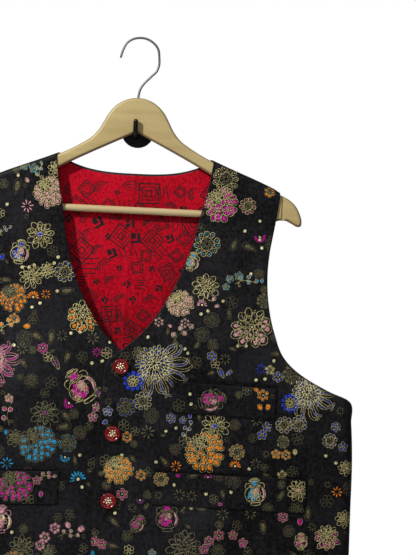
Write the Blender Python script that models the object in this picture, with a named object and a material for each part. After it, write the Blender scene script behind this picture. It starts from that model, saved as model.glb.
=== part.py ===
"""Brocade waistcoat on a wooden coat hanger, which rests on a wall hook.

Metres, +Z up. The front of the garment faces -Y and the wall is the plane Y = 0. The origin is the
centre of the wall hook's back face. "u" is a distance from the garment's own centre line, positive
towards the wearer's left, and the centre line leans a little because the garment hangs loose.
"""

import math

import bmesh
import bpy
import numpy as np
from mathutils import Vector
from mathutils.bvhtree import BVHTree

MM = 0.001
QUARTER = math.pi / 2

# Garment sizes
LENGTH = 571.5 * MM  # shoulder point beside the neck to the front points, 22.5 inches
NECK_HALF = 90.3 * MM
NECK_TOP = -29.3 * MM  # height of the shoulder point beside the neck
SHOULDER_HALF = 169.2 * MM
SHOULDER_SLOPE = 0.4266  # drop of the shoulder seam for each unit outwards
LEAN = 0.029  # sideways run of the centre line for each unit of drop
LEAN_TOP = -70.0 * MM  # height below which it leans
SEAM_GAP = 0.3 * MM

# Cloth walls
FRONT_CLOTH = 1.6 * MM  # brocade, canvas and lining together
BACK_CLOTH = 1.0 * MM
LINING_CLOTH = 1.0 * MM
WELT_CLOTH = 1.2 * MM

# Hanger, from the wall outwards
HANGER_BACK = 10.0 * MM
HANGER_THICK = 12.0 * MM
HANGER_MID = -(HANGER_BACK + HANGER_THICK / 2)
HANGER_EDGE_ROUND = 2.6 * MM
REST_GAP = 0.35 * MM

# Where the cloth lies over the hanger's arms
FRONT_FACE = -(HANGER_BACK + HANGER_THICK + REST_GAP + FRONT_CLOTH)
BACK_FACE = -(HANGER_BACK - 0.55 * MM - LINING_CLOTH - SEAM_GAP - BACK_CLOTH)
ROLL = 4.5 * MM  # radius of the turn over the arm, on the outside of the cloth
ROLL_ARC = ROLL * QUARTER
ARM_LINE = NECK_TOP - ROLL  # where the turn begins, at the shoulder point
FRONT_SEAM_Y = HANGER_MID - SEAM_GAP / 2
BACK_SEAM_Y = HANGER_MID + SEAM_GAP / 2

# Front closure
UNDER_STEP = 2.15 * MM  # how far the under front lies behind the over front
BUTTON_TOP = -271.4 * MM
BUTTON_SPACING = 77.5 * MM
BUTTON_OFFSETS = (1.7 * MM, -1.7 * MM, -0.5 * MM, 0.0)  # from the centre line, top to bottom
BUTTON_RADIUS = 9.0 * MM

# Sections of a front, from the shoulder down. Each row crosses the panel from its neck or front
# edge to its armhole or side edge. Millimetres; "closing" is how far the side edge has turned
# towards the back panel, and "share" is the place of the row in the panel's length.
FRONT_COLUMNS = ("share", "edge_u", "edge_z", "side_u", "side_z", "closing")
FRONT_SECTIONS = (
    (0.000, 90.3, -33.8, 169.2, -67.6, 0.0),
    (0.060, 86.6, -58.0, 165.8, -101.0, 0.0),
    (0.120, 81.0, -84.0, 162.2, -133.0, 0.0),
    (0.200, 72.5, -127.0, 162.4, -168.0, 0.0),
    (0.265, 62.5, -160.0, 166.8, -197.0, 0.0),
    (0.325, 50.5, -188.0, 174.6, -223.0, 0.05),
    (0.380, 36.5, -212.5, 188.5, -252.5, 0.20),
    (0.425, 20.5, -234.0, 211.0, -272.0, 0.50),
    (0.465, 1.5, -251.5, 243.0, -288.5, 0.85),
    (0.500, -14.0, -266.0, 267.2, -298.5, 1.0),
    (0.550, -17.5, -300.0, 271.5, -324.0, 1.0),
    (0.620, -17.5, -346.0, 275.5, -362.0, 1.0),
    (0.740, -17.5, -420.0, 278.6, -430.0, 1.0),
    (0.870, -17.5, -490.0, 282.0, -503.0, 1.0),
    (1.000, -17.5, -552.0, 285.0, -572.0, 1.0),
)
FRONT_HEM = -552.0 * MM  # height of the hem at the front edge
FRONT_POINT_U = 34.0 * MM  # where the front's hem comes to its lowest point
FRONT_FLAT = 0.9  # share of a front's width before its side turns

# The back's neck, hem and lining
BACK_FLAT = 0.95  # share of the back's half width before its side turns
BACK_NECK_CENTRE = -50.5 * MM
BACK_NECK_POWER = 3.0
BACK_NECK_TURN = 74.0 * MM  # u from which the neck edge climbs over the hanger's arm
BACK_NECK_EDGE = 2.0 * MM  # how far the lining stays below the neck edge
BACK_HEM_CENTRE = -584.0 * MM
LINING_HEM = 0.975  # place down the back where the lining ends

# Largest folds, each a soft ridge or trough along a straight line. Millimetres; a positive
# height stands out from the body.
FOLD_COLUMNS = ("start_u", "start_z", "end_u", "end_z", "half_width", "height")
FRONT_FOLDS = (
    (-112.0, -190.0, -92.0, -452.0, 26.0, 3.2),
    (-190.0, -300.0, -172.0, -572.0, 24.0, -3.0),
    (-62.0, -440.0, -56.0, -590.0, 20.0, 2.2),
    (40.0, -402.0, 112.0, -438.0, 20.0, -2.6),
    (96.0, -170.0, 128.0, -262.0, 24.0, 2.6),
    (118.0, -440.0, 110.0, -590.0, 26.0, 3.4),
    (206.0, -330.0, 196.0, -560.0, 25.0, 2.6),
)
BACK_FOLDS = (
    (-78.0, -170.0, -96.0, -560.0, 26.0, 2.4),
    (64.0, -190.0, 88.0, -575.0, 30.0, 2.4),
    (-8.0, -260.0, 2.0, -575.0, 24.0, -2.4),
    (176.0, -320.0, 182.0, -560.0, 26.0, -2.4),
    (-184.0, -340.0, -178.0, -560.0, 26.0, -2.2),
)

# Welt pockets on the fronts, millimetres. The ends are in u, the tops are heights at each end.
WELT_COLUMNS = ("name", "inner_u", "outer_u", "inner_top", "outer_top", "depth")
WELTS = (
    ("welt_chest", 63.0, 183.0, -285.6, -288.0, 35.6),
    ("welt_left", 49.0, 225.0, -390.0, -390.6, 38.5),
    ("welt_right", -59.0, -235.0, -394.8, -402.0, 38.5),
)

# Outline of one half of the hanger, from the middle of its dome to its tip, and then along its
# lower side back to the middle. Millimetres.
HANGER_UPPER = (
    (0.0, 38.4), (12.0, 36.4), (23.0, 30.4), (31.5, 21.5), (37.5, 11.0), (43.0, 1.0),
    (51.0, -8.5), (63.0, -16.8), (77.0, -24.8), (90.0, -31.2), (169.0, -64.95),
    (178.0, -69.2), (185.0, -74.4), (190.3, -81.4), (193.8, -89.2), (195.2, -96.2),
)
HANGER_LOWER = (
    (194.0, -100.2), (191.0, -101.0), (177.0, -94.6), (170.5, -94.4), (158.0, -98.4),
    (147.0, -98.4), (139.0, -91.0), (130.0, -75.0), (112.0, -60.3), (88.0, -46.2), (0.0, -1.2),
)

BAR_RADIUS = 4.0 * MM
BAR_HEIGHT = -91.3 * MM
BAR_HALF = 149.0 * MM
BAR_SOCKET_INNER = 128.0 * MM
GROOVE_U = 173.5 * MM  # strap groove across the front of each arm's end
GROOVE_WIDE = 5.0 * MM
GROOVE_DEEP = 1.2 * MM

WIRE_RADIUS = 1.35 * MM
BORE_FLOOR = 20.0 * MM
BORE_TOP = 45.0 * MM  # above the dome's top, so the cutter passes through it
SWIVEL_HEIGHT = 38.0 * MM
# Path of the wire hook in the plane of the hanger, (across, height) in millimetres
HOOK_PATH = (
    (0.0, 20.4), (0.0, 34.0), (0.3, 42.0), (3.2, 49.0), (9.5, 56.8), (16.2, 64.2),
    (20.6, 71.5), (22.2, 79.0), (21.6, 88.0), (17.4, 97.6), (9.6, 104.3), (0.0, 106.2),
    (-9.8, 103.8), (-17.6, 97.0), (-21.6, 88.6), (-22.7, 82.0),
)
HOOK_STEPS = 30

PLATE_RADIUS = 18.5 * MM
PLATE_THICK = 5.0 * MM
PLATE_ROUND = 1.4 * MM
PRONG_RADIUS = 2.75 * MM
# Path of the prong in the plane X = 0, (outwards from the wall, height) in millimetres
PRONG_PATH = (
    (2.0, -6.6), (6.0, -6.4), (10.5, -4.8), (15.0, -4.3), (20.0, -4.3),
    (24.2, -2.6), (26.3, 1.6), (26.6, 7.0), (26.6, 12.2),
)
PRONG_STEPS = 14

# Colour, roughness and metallic value of each material
FINISHES = {
    "black brocade": ((0.014, 0.013, 0.017), 0.42, 0.0),
    "black satin": ((0.012, 0.012, 0.014), 0.38, 0.0),
    "red lining": ((0.30, 0.008, 0.02), 0.45, 0.0),
    "pale wood": ((0.47, 0.36, 0.17), 0.45, 0.0),
    "steel wire": ((0.55, 0.56, 0.55), 0.25, 1.0),
    "black plastic": ((0.006, 0.006, 0.006), 0.3, 0.0),
    "red and gold button": ((0.22, 0.006, 0.008), 0.2, 0.3),
}


def clear_scene():
    for old in list(bpy.data.objects):
        bpy.data.objects.remove(old)


def finish(name):
    """The material of that name, made once."""
    material = bpy.data.materials.get(name)
    if material is None:
        colour, roughness, metallic = FINISHES[name]
        material = bpy.data.materials.new(name)
        material.use_nodes = True
        shader = material.node_tree.nodes["Principled BSDF"]
        shader.inputs["Base Color"].default_value = (*colour, 1.0)
        shader.inputs["Roughness"].default_value = roughness
        shader.inputs["Metallic"].default_value = metallic
    return material


def smooth_mesh(name, bm, material, crease=35.0):
    """A smooth-shaded mesh from a closed bmesh, with its faces turned to point out."""
    bmesh.ops.recalc_face_normals(bm, faces=bm.faces)
    mesh = bpy.data.meshes.new(name)
    bm.to_mesh(mesh)
    bm.free()
    mesh.shade_smooth()
    mesh.set_sharp_from_angle(angle=math.radians(crease))
    mesh.materials.append(finish(material))
    return mesh


def place(name, mesh, location=(0.0, 0.0, 0.0)):
    obj = bpy.data.objects.new(name, mesh)
    obj.location = location
    bpy.context.scene.collection.objects.link(obj)
    return obj


def cut(obj, operation, cutter):
    """Adds a Boolean to an object, and hides the object that cuts it."""
    boolean = obj.modifiers.new(cutter.name, "BOOLEAN")
    boolean.operation = operation
    boolean.object = cutter
    cutter.hide_render = True
    cutter.display_type = "WIRE"


def smooth_step(low, high, value):
    """0 below low, 1 above high, with an even slope at both ends."""
    t = np.clip((value - low) / (high - low), 0.0, 1.0)
    return t * t * (3.0 - 2.0 * t)


def curve_through(places, values, at):
    """A smooth curve through the rows of a table, read at any number of places."""
    places, values = np.asarray(places, float), np.asarray(values, float)
    steps = np.diff(places)
    slopes = np.diff(values) / steps
    inner = (slopes[:-1] * steps[1:] + slopes[1:] * steps[:-1]) / (steps[:-1] + steps[1:])
    tangents = np.concatenate([slopes[:1], inner, slopes[-1:]])
    row = np.clip(np.searchsorted(places, at, side="right") - 1, 0, len(steps) - 1)
    t = (at - places[row]) / steps[row]
    return (
        values[row] * (1 + 2 * t) * (1 - t) ** 2
        + tangents[row] * steps[row] * t * (1 - t) ** 2
        + values[row + 1] * t * t * (3 - 2 * t)
        + tangents[row + 1] * steps[row] * t * t * (t - 1)
    )


SECTION = {name: np.array([row[i] for row in FRONT_SECTIONS]) for i, name in enumerate(FRONT_COLUMNS)}


def section(column, share):
    """One column of the front's table at any place down the panel, in metres."""
    return curve_through(SECTION["share"], SECTION[column], share) * MM


def closing_at(share):
    return np.clip(curve_through(SECTION["share"], SECTION["closing"], share), 0.0, 1.0)


def side_width(z):
    """Distance of the armhole or side edge from the centre line, at a height."""
    return np.interp(-z, -SECTION["side_z"] * MM, SECTION["side_u"] * MM)


def centre_line(z):
    """Sideways place of the garment's centre line, at a height."""
    return LEAN * np.minimum(z - LEAN_TOP, 0.0)


def folds(table, u, z):
    """How far the folds of a table stand out at a point. Each fades out towards its two ends."""
    total = np.zeros(np.broadcast(u, z).shape)
    for row in table:
        fold = dict(zip(FOLD_COLUMNS, row))
        start = np.array([fold["start_u"], fold["start_z"]]) * MM
        run = np.array([fold["end_u"], fold["end_z"]]) * MM - start
        along = ((u - start[0]) * run[0] + (z - start[1]) * run[1]) / (run @ run)
        across = ((u - start[0]) * run[1] - (z - start[1]) * run[0]) / math.sqrt(run @ run)
        fade = smooth_step(-0.12, 0.25, along) * (1 - smooth_step(0.7, 1.12, along))
        width = fold["half_width"] * MM
        total = total + fold["height"] * MM * fade * np.exp(-((across / width) ** 2))
    return total


def fullness(z):
    """How far the chest and the skirts of the fronts stand out from the hanger's face."""
    chest = 12.0 * MM * smooth_step(115.0 * MM, 300.0 * MM, -z)
    waist = 2.5 * MM * smooth_step(330.0 * MM, 420.0 * MM, -z)
    skirt = 3.0 * MM * smooth_step(430.0 * MM, 560.0 * MM, -z)
    return chest - waist + skirt


def front_depth(u, z, side):
    """Y of a front's outer face. side is 1 for the wearer's left front, which lies over."""
    share = np.clip(np.abs(u) / side_width(z), 0.0, 1.0)
    depth = FRONT_FACE - fullness(z) * (1 - share**2.6)
    depth = depth - folds(FRONT_FOLDS, u, z) * (1 - smooth_step(0.88, 1.0, share))
    if side < 0:
        depth = depth + UNDER_STEP * smooth_step(-75.0 * MM, -24.0 * MM, u)
    return depth


def back_depth(u, z):
    """Y of the back's outer face."""
    share = np.clip(np.abs(u) / side_width(z), 0.0, 1.0)
    hollow = 2.0 * MM * smooth_step(115.0 * MM, 280.0 * MM, -z) * (1 - share**4)
    return BACK_FACE + hollow + folds(BACK_FOLDS, u, z) * (1 - smooth_step(0.88, 1.0, share))


def side_turn(side_u, closing, turn):
    """u of the stretch before a side edge, which turns round towards the other panel."""
    reach = (3.0 + 7.0 * closing) * MM
    done = turn + closing * (np.sin(turn * QUARTER) - turn)
    return side_u - reach * (1 - done)


def over_arm(distance, seam_y, face_y):
    """(y, height) of the cloth on its way from the face of the hanger's arm over its top.

    distance is negative, and counts along the cloth from where the turn begins."""
    towards = math.copysign(1.0, seam_y - face_y)
    angle = np.clip(-distance / ROLL, 0.0, QUARTER)
    run = np.maximum(-distance - ROLL_ARC, 0.0)
    return towards * (ROLL * (1 - np.cos(angle)) + run), ROLL * np.sin(angle)


def arm_length(seam_y, face_y):
    """Length of cloth from the shoulder seam to where it leaves the turn over the arm."""
    return ROLL_ARC + abs(seam_y - face_y) - ROLL


def hem_dip(u, share):
    """How far the front's hem drops below a straight line from front edge to side seam."""
    rise = smooth_step(-21.5 * MM, FRONT_POINT_U, u) ** 1.2
    fall = 1 - smooth_step(FRONT_POINT_U, 190.0 * MM, u)
    depth = FRONT_HEM - 4.0 * MM - (NECK_TOP - LENGTH)
    return depth * rise * fall * smooth_step(0.78, 1.0, share)


def front_surface(across, down, side):
    """Outer face of a front. across is 0 at the front edge and 1 at the side edge, with the last
    tenth turning round the side. down is -1 to 0 over the arm and 0 to 1 to the hem."""
    share = np.maximum(down, 0.0)
    edge_u, side_u = section("edge_u", share), section("side_u", share)
    edge_z, side_z = section("edge_z", share), section("side_z", share)
    closing = closing_at(share)
    turn = np.maximum((across - FRONT_FLAT) / (1 - FRONT_FLAT), 0.0)
    flat_u = edge_u + (side_turn(side_u, closing, 0.0) - edge_u) * across / FRONT_FLAT
    u = np.where(across < FRONT_FLAT, flat_u, side_turn(side_u, closing, turn))
    z = edge_z + (side_z - edge_z) * (u - edge_u) / (side_u - edge_u) - hem_dip(u, share)
    y = front_depth(side * u, z, side)
    y = y + closing * (FRONT_SEAM_Y - y) * (1 - np.cos(turn * QUARTER))
    distance = np.minimum(down, 0.0) * arm_length(FRONT_SEAM_Y, FRONT_FACE)
    in_y, height = over_arm(distance, FRONT_SEAM_Y, FRONT_FACE)
    return np.stack([centre_line(z + height) + side * u, y + in_y, z + height], axis=-1)


def arm_line(u):
    """Height at which cloth leaves the turn over the hanger's arm."""
    outward = np.maximum(u - NECK_HALF, 0.0)
    inward = np.clip(NECK_HALF - u, 0.0, 17.0 * MM)
    return ARM_LINE - SHOULDER_SLOPE * outward + 0.55 * inward


def back_surface(across, down):
    """Outer face of the back. across is -1 to 1, and the last twentieth turns round each side.
    down is -1 to 0 over the arm, or along the neck edge, and 0 to 1 from there to the hem."""
    share = np.maximum(down, 0.0)
    half = np.abs(across)
    flat = np.minimum(half / BACK_FLAT, 1.0)
    turn = np.maximum((half - BACK_FLAT) / (1 - BACK_FLAT), 0.0)
    closing = closing_at(share)
    side_u, side_z = section("side_u", share), section("side_z", share)
    u = np.where(turn > 0, side_turn(side_u, closing, turn), side_turn(side_u, closing, 0.0) * flat)
    shoulder = side_turn(SHOULDER_HALF, 0.0, turn)
    top_u = np.where(turn > 0, shoulder, shoulder * flat)

    rise = (np.minimum(top_u, NECK_HALF) / NECK_HALF) ** BACK_NECK_POWER
    neck_z = BACK_NECK_CENTRE + (NECK_TOP - BACK_NECK_CENTRE) * rise
    around = smooth_step(BACK_NECK_TURN, NECK_HALF, top_u)
    strip = BACK_NECK_EDGE + (arm_length(BACK_SEAM_Y, BACK_FACE) - BACK_NECK_EDGE) * around
    first = (arm_line(top_u) - neck_z + BACK_NECK_EDGE) * (1 - around)
    distance = first + np.minimum(down, 0.0) * strip

    # Rows run straight from the centre to the side, but for the shape of the neck and shoulders.
    top_z = arm_line(top_u) - np.maximum(distance, 0.0)
    centre_top = BACK_NECK_CENTRE - BACK_NECK_EDGE
    shape = top_z - centre_top - (section("side_z", 0.0) - centre_top) * flat**2
    centre_z = centre_top + (BACK_HEM_CENTRE - centre_top) * share
    z = centre_z + (side_z - centre_z) * flat**2 + shape * (1 - smooth_step(0.0, 0.32, share))
    y = back_depth(np.sign(across) * u, z)
    y = y + closing * (BACK_SEAM_Y - y) * (1 - np.cos(turn * QUARTER))
    in_y, height = over_arm(np.minimum(distance, 0.0), BACK_SEAM_Y, BACK_FACE)
    return np.stack([centre_line(z + height) + np.sign(across) * u, y + in_y, z + height], axis=-1)


def facing(surface, across, down, outward_y):
    """Unit normals of a surface over a grid of places, pointing out of the garment."""
    step = 1e-4
    along_row = surface(across + step, down) - surface(across - step, down)
    along_column = surface(across, down + step) - surface(across, down - step)
    normal = np.cross(along_row, along_column)
    normal /= np.linalg.norm(normal, axis=-1, keepdims=True)
    middle = normal[normal.shape[0] // 2, normal.shape[1] // 2]
    return normal * math.copysign(1.0, middle[1] * outward_y)


def wall(surface, columns, rows, outward_y, out, thickness):
    """A closed wall of cloth as a bmesh. Its outer side lies "out" from the surface."""
    across, down = np.meshgrid(np.asarray(columns, float), np.asarray(rows, float))
    points = surface(across, down)
    normals = facing(surface, across, down, outward_y)
    bm = bmesh.new()
    sides = []
    for offset in (out, out - thickness):
        layer = points + normals * offset
        sides.append([[bm.verts.new(point) for point in row] for row in layer])
    outer, inner = sides
    row_count, column_count = across.shape
    for r in range(row_count - 1):
        for c in range(column_count - 1):
            for side in sides:
                bm.faces.new((side[r][c], side[r][c + 1], side[r + 1][c + 1]))
                bm.faces.new((side[r][c], side[r + 1][c + 1], side[r + 1][c]))
    for r in range(row_count - 1):
        for c in (0, column_count - 1):
            bm.faces.new((outer[r][c], outer[r + 1][c], inner[r + 1][c], inner[r][c]))
    for c in range(column_count - 1):
        for r in (0, row_count - 1):
            bm.faces.new((outer[r][c], outer[r][c + 1], inner[r][c + 1], inner[r][c]))
    return bm


def spread(*stretches):
    """Places along a panel, from (end, number of steps) for each stretch after the first place."""
    places = [stretches[0]]
    for end, steps in stretches[1:]:
        places.extend(np.linspace(places[-1], end, steps + 1)[1:])
    return places


def arm_rows(seam_y, face_y):
    """Rows over the hanger's arm: the flat stretch at the seam, then three steps of the turn."""
    start = -ROLL_ARC / arm_length(seam_y, face_y)
    return [-1.0] + [start * part for part in (1.0, 2 / 3, 1 / 3)]


def front_grid():
    """Columns and rows of a front. The columns are close where the two fronts overlap."""
    columns = [0.0, 0.027, 0.055, 0.1, 0.165] + spread(0.24, (FRONT_FLAT, 8)) + [0.935, 0.968, 1.0]
    rows = arm_rows(FRONT_SEAM_Y, FRONT_FACE) + spread(0.0, (0.38, 8), (0.5, 6), (1.0, 10))
    return columns, rows


def back_columns():
    """Places of the columns on one half of the back, in the order of the shoulder's points."""
    places = [0.0, 20.0, 39.0, 56.0, 69.0, 76.0, 81.5, 86.0, 90.3, 105.0, 120.0, 135.0, 149.0, 160.0]
    widest = side_turn(SHOULDER_HALF, 0.0, 0.0)
    half = [place * MM / widest * BACK_FLAT for place in places]
    return half + [BACK_FLAT, 0.968, 0.984, 1.0]


def back_grid():
    half = back_columns()
    columns = [-place for place in reversed(half[1:])] + half
    rows = arm_rows(BACK_SEAM_Y, BACK_FACE) + spread(0.0, (0.38, 6), (0.5, 5), (LINING_HEM, 8)) + [1.0]
    return columns, rows


def front_wall(side, out=0.0, thickness=FRONT_CLOTH):
    columns, rows = front_grid()
    return wall(lambda a, d: front_surface(a, d, side), columns, rows, -1, out, thickness)


def make_fronts():
    """The two fronts. The wearer's left front is the one that laps over."""
    return {
        side: place(name, smooth_mesh(name, front_wall(side), "black brocade"))
        for name, side in (("front_left", 1), ("front_right", -1))
    }


def make_back():
    columns, rows = back_grid()
    bm = wall(back_surface, columns, rows, 1, 0.0, BACK_CLOTH)
    place("back", smooth_mesh("back", bm, "black satin"))


def make_back_lining():
    """The red lining inside the back, short of the neck edge, armholes, side seams and hem."""
    columns, rows = back_grid()
    columns = [place for place in columns if abs(place) < BACK_FLAT]
    rows = [place for place in rows if 0.0 <= place <= LINING_HEM]
    bm = wall(back_surface, columns, rows, 1, -(BACK_CLOTH + SEAM_GAP), LINING_CLOTH)
    place("back_lining", smooth_mesh("back_lining", bm, "red lining"))


def prism(name, outline, near, far):
    """A closed prism between two depths, from (x, z) points."""
    bm = bmesh.new()
    front = bm.faces.new([bm.verts.new((x, near, z)) for x, z in outline])
    swept = bmesh.ops.extrude_face_region(bm, geom=[front])
    moved = [item for item in swept["geom"] if isinstance(item, bmesh.types.BMVert)]
    bmesh.ops.translate(bm, vec=(0.0, far - near, 0.0), verts=moved)
    return place(name, smooth_mesh(name, bm, "black plastic"))


def make_welts():
    """Welt pockets: the stretch of a wall laid over the front that falls inside each outline."""
    for row in WELTS:
        welt = dict(zip(WELT_COLUMNS, row))
        side = 1 if welt["inner_u"] > 0 else -1
        corners = (
            (welt["inner_u"], welt["inner_top"]),
            (welt["outer_u"], welt["outer_top"]),
            (welt["outer_u"], welt["outer_top"] - welt["depth"]),
            (welt["inner_u"], welt["inner_top"] - welt["depth"]),
        )
        outline = [(u * MM + centre_line(z * MM), z * MM) for u, z in corners]
        bm = front_wall(side, SEAM_GAP + 0.1 * MM + WELT_CLOTH, WELT_CLOTH)
        strip = place(welt["name"], smooth_mesh(welt["name"], bm, "black brocade"))
        cut(strip, "INTERSECT", prism(welt["name"] + "_outline", outline, -0.2, 0.0))


def turned(profile, segments):
    """A closed solid turned round Z from (radius, height) points that start and end on the axis."""
    bm = bmesh.new()
    rings = []
    for radius, height in profile[1:-1]:
        angles = [2 * math.pi * i / segments for i in range(segments)]
        rings.append([bm.verts.new((radius * math.cos(a), radius * math.sin(a), height)) for a in angles])
    ends = [bm.verts.new((0.0, 0.0, profile[i][1])) for i in (0, -1)]
    for i in range(segments):
        j = (i + 1) % segments
        bm.faces.new((ends[0], rings[0][i], rings[0][j]))
        bm.faces.new((ends[1], rings[-1][j], rings[-1][i]))
        for low, high in zip(rings, rings[1:]):
            bm.faces.new((low[i], high[i], high[j], low[j]))
    return bm


def button_mesh():
    """A round button with a shank, a rolled rim and a slightly domed middle."""
    r = BUTTON_RADIUS
    base = 1.0 * MM
    profile = (
        (0.0, 0.0), (2.4 * MM, 0.0), (2.4 * MM, base), (r - 1.4 * MM, base),
        (r - 0.3 * MM, base + 0.8 * MM), (r, base + 1.7 * MM), (r - 0.6 * MM, base + 2.6 * MM),
        (r - 1.7 * MM, base + 2.8 * MM), (r - 2.8 * MM, base + 2.1 * MM),
        (0.45 * r, base + 2.5 * MM), (0.0, base + 2.7 * MM),
    )
    return smooth_mesh("button", turned(profile, 24), "red and gold button", crease=50.0)


def make_buttons(over_front):
    """Buttons down the centre line, each square to the cloth that it stands on."""
    mesh = button_mesh()
    tree = BVHTree.FromPolygons(
        [vertex.co for vertex in over_front.data.vertices],
        [polygon.vertices for polygon in over_front.data.polygons],
    )
    for i, offset in enumerate(BUTTON_OFFSETS):
        z = BUTTON_TOP - i * BUTTON_SPACING
        x = centre_line(z) + offset
        point, normal, _, _ = tree.ray_cast(Vector((x, -0.2, z)), Vector((0.0, 1.0, 0.0)))
        button = place(f"button_{i + 1}", mesh, point + normal * (SEAM_GAP + 0.1 * MM))
        button.rotation_mode = "QUATERNION"
        button.rotation_quaternion = normal.to_track_quat("Z", "Y")


def inset_outline(outline, distance):
    """A closed outline moved inwards, its corners mitred. The points run clockwise."""
    points = np.asarray(outline, float)
    ahead = np.roll(points, -1, axis=0) - points
    ahead /= np.linalg.norm(ahead, axis=1, keepdims=True)
    normal = np.stack([ahead[:, 1], -ahead[:, 0]], axis=1)
    before = np.roll(normal, 1, axis=0)
    mitre = (normal + before) / (1 + np.sum(normal * before, axis=1, keepdims=True))
    return points + mitre * distance


def make_hanger():
    """A flat hanger with rounded edges, sockets for its bar, a bore for its hook, and grooves."""
    half = [(x * MM, z * MM) for x, z in HANGER_UPPER + HANGER_LOWER]
    outline = half + [(-x, z) for x, z in reversed(half[1:-1])]
    steps = (1.0, 0.62, 0.28, 0.0)
    levels = [(1 - math.sqrt(1 - s * s), s) for s in steps]
    bm = bmesh.new()
    rings = []
    for direction, order in ((-1, levels), (1, reversed(levels))):
        for inwards, outwards in order:
            flat = HANGER_THICK / 2 - HANGER_EDGE_ROUND * (1 - outwards)
            ring = inset_outline(outline, inwards * HANGER_EDGE_ROUND)
            rings.append([bm.verts.new((x, HANGER_MID + direction * flat, z)) for x, z in ring])
    bm.faces.new(rings[0])
    bm.faces.new(rings[-1])
    for low, high in zip(rings, rings[1:]):
        for i in range(len(low)):
            j = (i + 1) % len(low)
            bm.faces.new((low[i], low[j], high[j], high[i]))
    hanger = place("hanger", smooth_mesh("hanger", bm, "pale wood"))

    bore_ends = [(0.0, HANGER_MID, height) for height in (BORE_FLOOR, BORE_TOP)]
    cut(hanger, "DIFFERENCE", rod("hook_bore", WIRE_RADIUS + SEAM_GAP, *bore_ends, 16))
    for side, word in ((-1, "right"), (1, "left")):
        ends = [(side * x, HANGER_MID, BAR_HEIGHT) for x in (BAR_SOCKET_INNER, BAR_HALF + SEAM_GAP)]
        cut(hanger, "DIFFERENCE", rod("bar_socket_" + word, BAR_RADIUS + SEAM_GAP, *ends, 16))
        near, far = (side * GROOVE_U - GROOVE_WIDE / 2, side * GROOVE_U + GROOVE_WIDE / 2)
        outline = ((near, -0.11), (far, -0.11), (far, -0.05), (near, -0.05))
        front = -(HANGER_BACK + HANGER_THICK)
        cut(hanger, "DIFFERENCE", prism("groove_" + word, outline, front - 0.01, front + GROOVE_DEEP))


def tube(path, radii, sides):
    """A closed tube along points, with a ring for each. The rings keep their turn between points."""
    points = [Vector(point) for point in path]
    bm = bmesh.new()
    rings = []
    reference = None
    for i, point in enumerate(points):
        ahead = points[min(i + 1, len(points) - 1)] - points[max(i - 1, 0)]
        ahead.normalize()
        if reference is None:
            reference = ahead.orthogonal()
        reference = (reference - ahead * reference.dot(ahead)).normalized()
        other = ahead.cross(reference)
        angles = [2 * math.pi * k / sides for k in range(sides)]
        spokes = [reference * math.cos(a) + other * math.sin(a) for a in angles]
        rings.append([bm.verts.new(point + spoke * radii[i]) for spoke in spokes])
    bm.faces.new(rings[0])
    bm.faces.new(rings[-1])
    for low, high in zip(rings, rings[1:]):
        for k in range(sides):
            j = (k + 1) % sides
            bm.faces.new((low[k], low[j], high[j], high[k]))
    return bm


def rod(name, radius, start, end, sides):
    return place(name, smooth_mesh(name, tube((start, end), (radius, radius), sides), "pale wood"))


def smooth_path(points, steps):
    """Even places on a smooth curve through points in a plane, from (a, b) pairs in millimetres."""
    corners = np.array(points) * MM
    along = np.concatenate([[0.0], np.cumsum(np.linalg.norm(np.diff(corners, axis=0), axis=1))])
    at = np.linspace(0.0, along[-1], steps + 1)
    return [curve_through(along, corners[:, i], at) for i in (0, 1)]


def rounded_end(count, radius):
    """Radii of a tube whose last rings close in to a blunt tip."""
    return [radius] * (count - 1) + [radius * 0.55]


def make_hook():
    """The wire hook. Its origin is on the axis of its stem, which turns in the hanger's bore."""
    across, height = smooth_path(HOOK_PATH, HOOK_STEPS)
    path = [(x, 0.0, z - SWIVEL_HEIGHT) for x, z in zip(across, height)]
    bm = tube(path, rounded_end(len(path), WIRE_RADIUS), 8)
    mesh = smooth_mesh("hanger_hook", bm, "steel wire", crease=60.0)
    place("hanger_hook", mesh, (0.0, HANGER_MID, SWIVEL_HEIGHT))


def make_wall_hook():
    """A round plate on the wall with a prong that turns up in front of the hanger."""
    r = PLATE_RADIUS
    profile = (
        (0.0, 0.0), (r, 0.0), (r, PLATE_THICK - PLATE_ROUND),
        (r - 0.3 * PLATE_ROUND, PLATE_THICK - 0.3 * PLATE_ROUND),
        (r - PLATE_ROUND, PLATE_THICK), (0.0, PLATE_THICK),
    )
    bm = turned(profile, 36)
    for vertex in bm.verts:
        x, y, z = vertex.co
        vertex.co = (x, -z, y)
    plate = place("wall_hook", smooth_mesh("wall_hook", bm, "black plastic"))

    out, height = smooth_path(PRONG_PATH, PRONG_STEPS)
    path = [(0.0, -y, z) for y, z in zip(out, height)]
    bm = tube(path, rounded_end(len(path), PRONG_RADIUS), 10)
    cut(plate, "UNION", place("prong", smooth_mesh("prong", bm, "black plastic")))


def make_bar():
    ends = [(side * BAR_HALF, HANGER_MID, BAR_HEIGHT) for side in (-1, 1)]
    rod("trouser_bar", BAR_RADIUS, *ends, 14)


clear_scene()
fronts = make_fronts()
make_back()
make_back_lining()
make_welts()
make_buttons(fronts[1])
make_hanger()
make_bar()
make_hook()
make_wall_hook()
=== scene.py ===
"""Looks of the brocade waistcoat on its hanger and wall hook.

Metres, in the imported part's own frame: the wall is the plane Y = 0, the front of the garment faces
-Y and +X is the wearer's left. "u" is a distance from the garment's own centre line, which leans a
little because the garment hangs loose.
"""

import math
import random

import bmesh
import bpy
import numpy as np
from mathutils import Matrix, Vector
from mathutils.bvhtree import BVHTree


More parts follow.
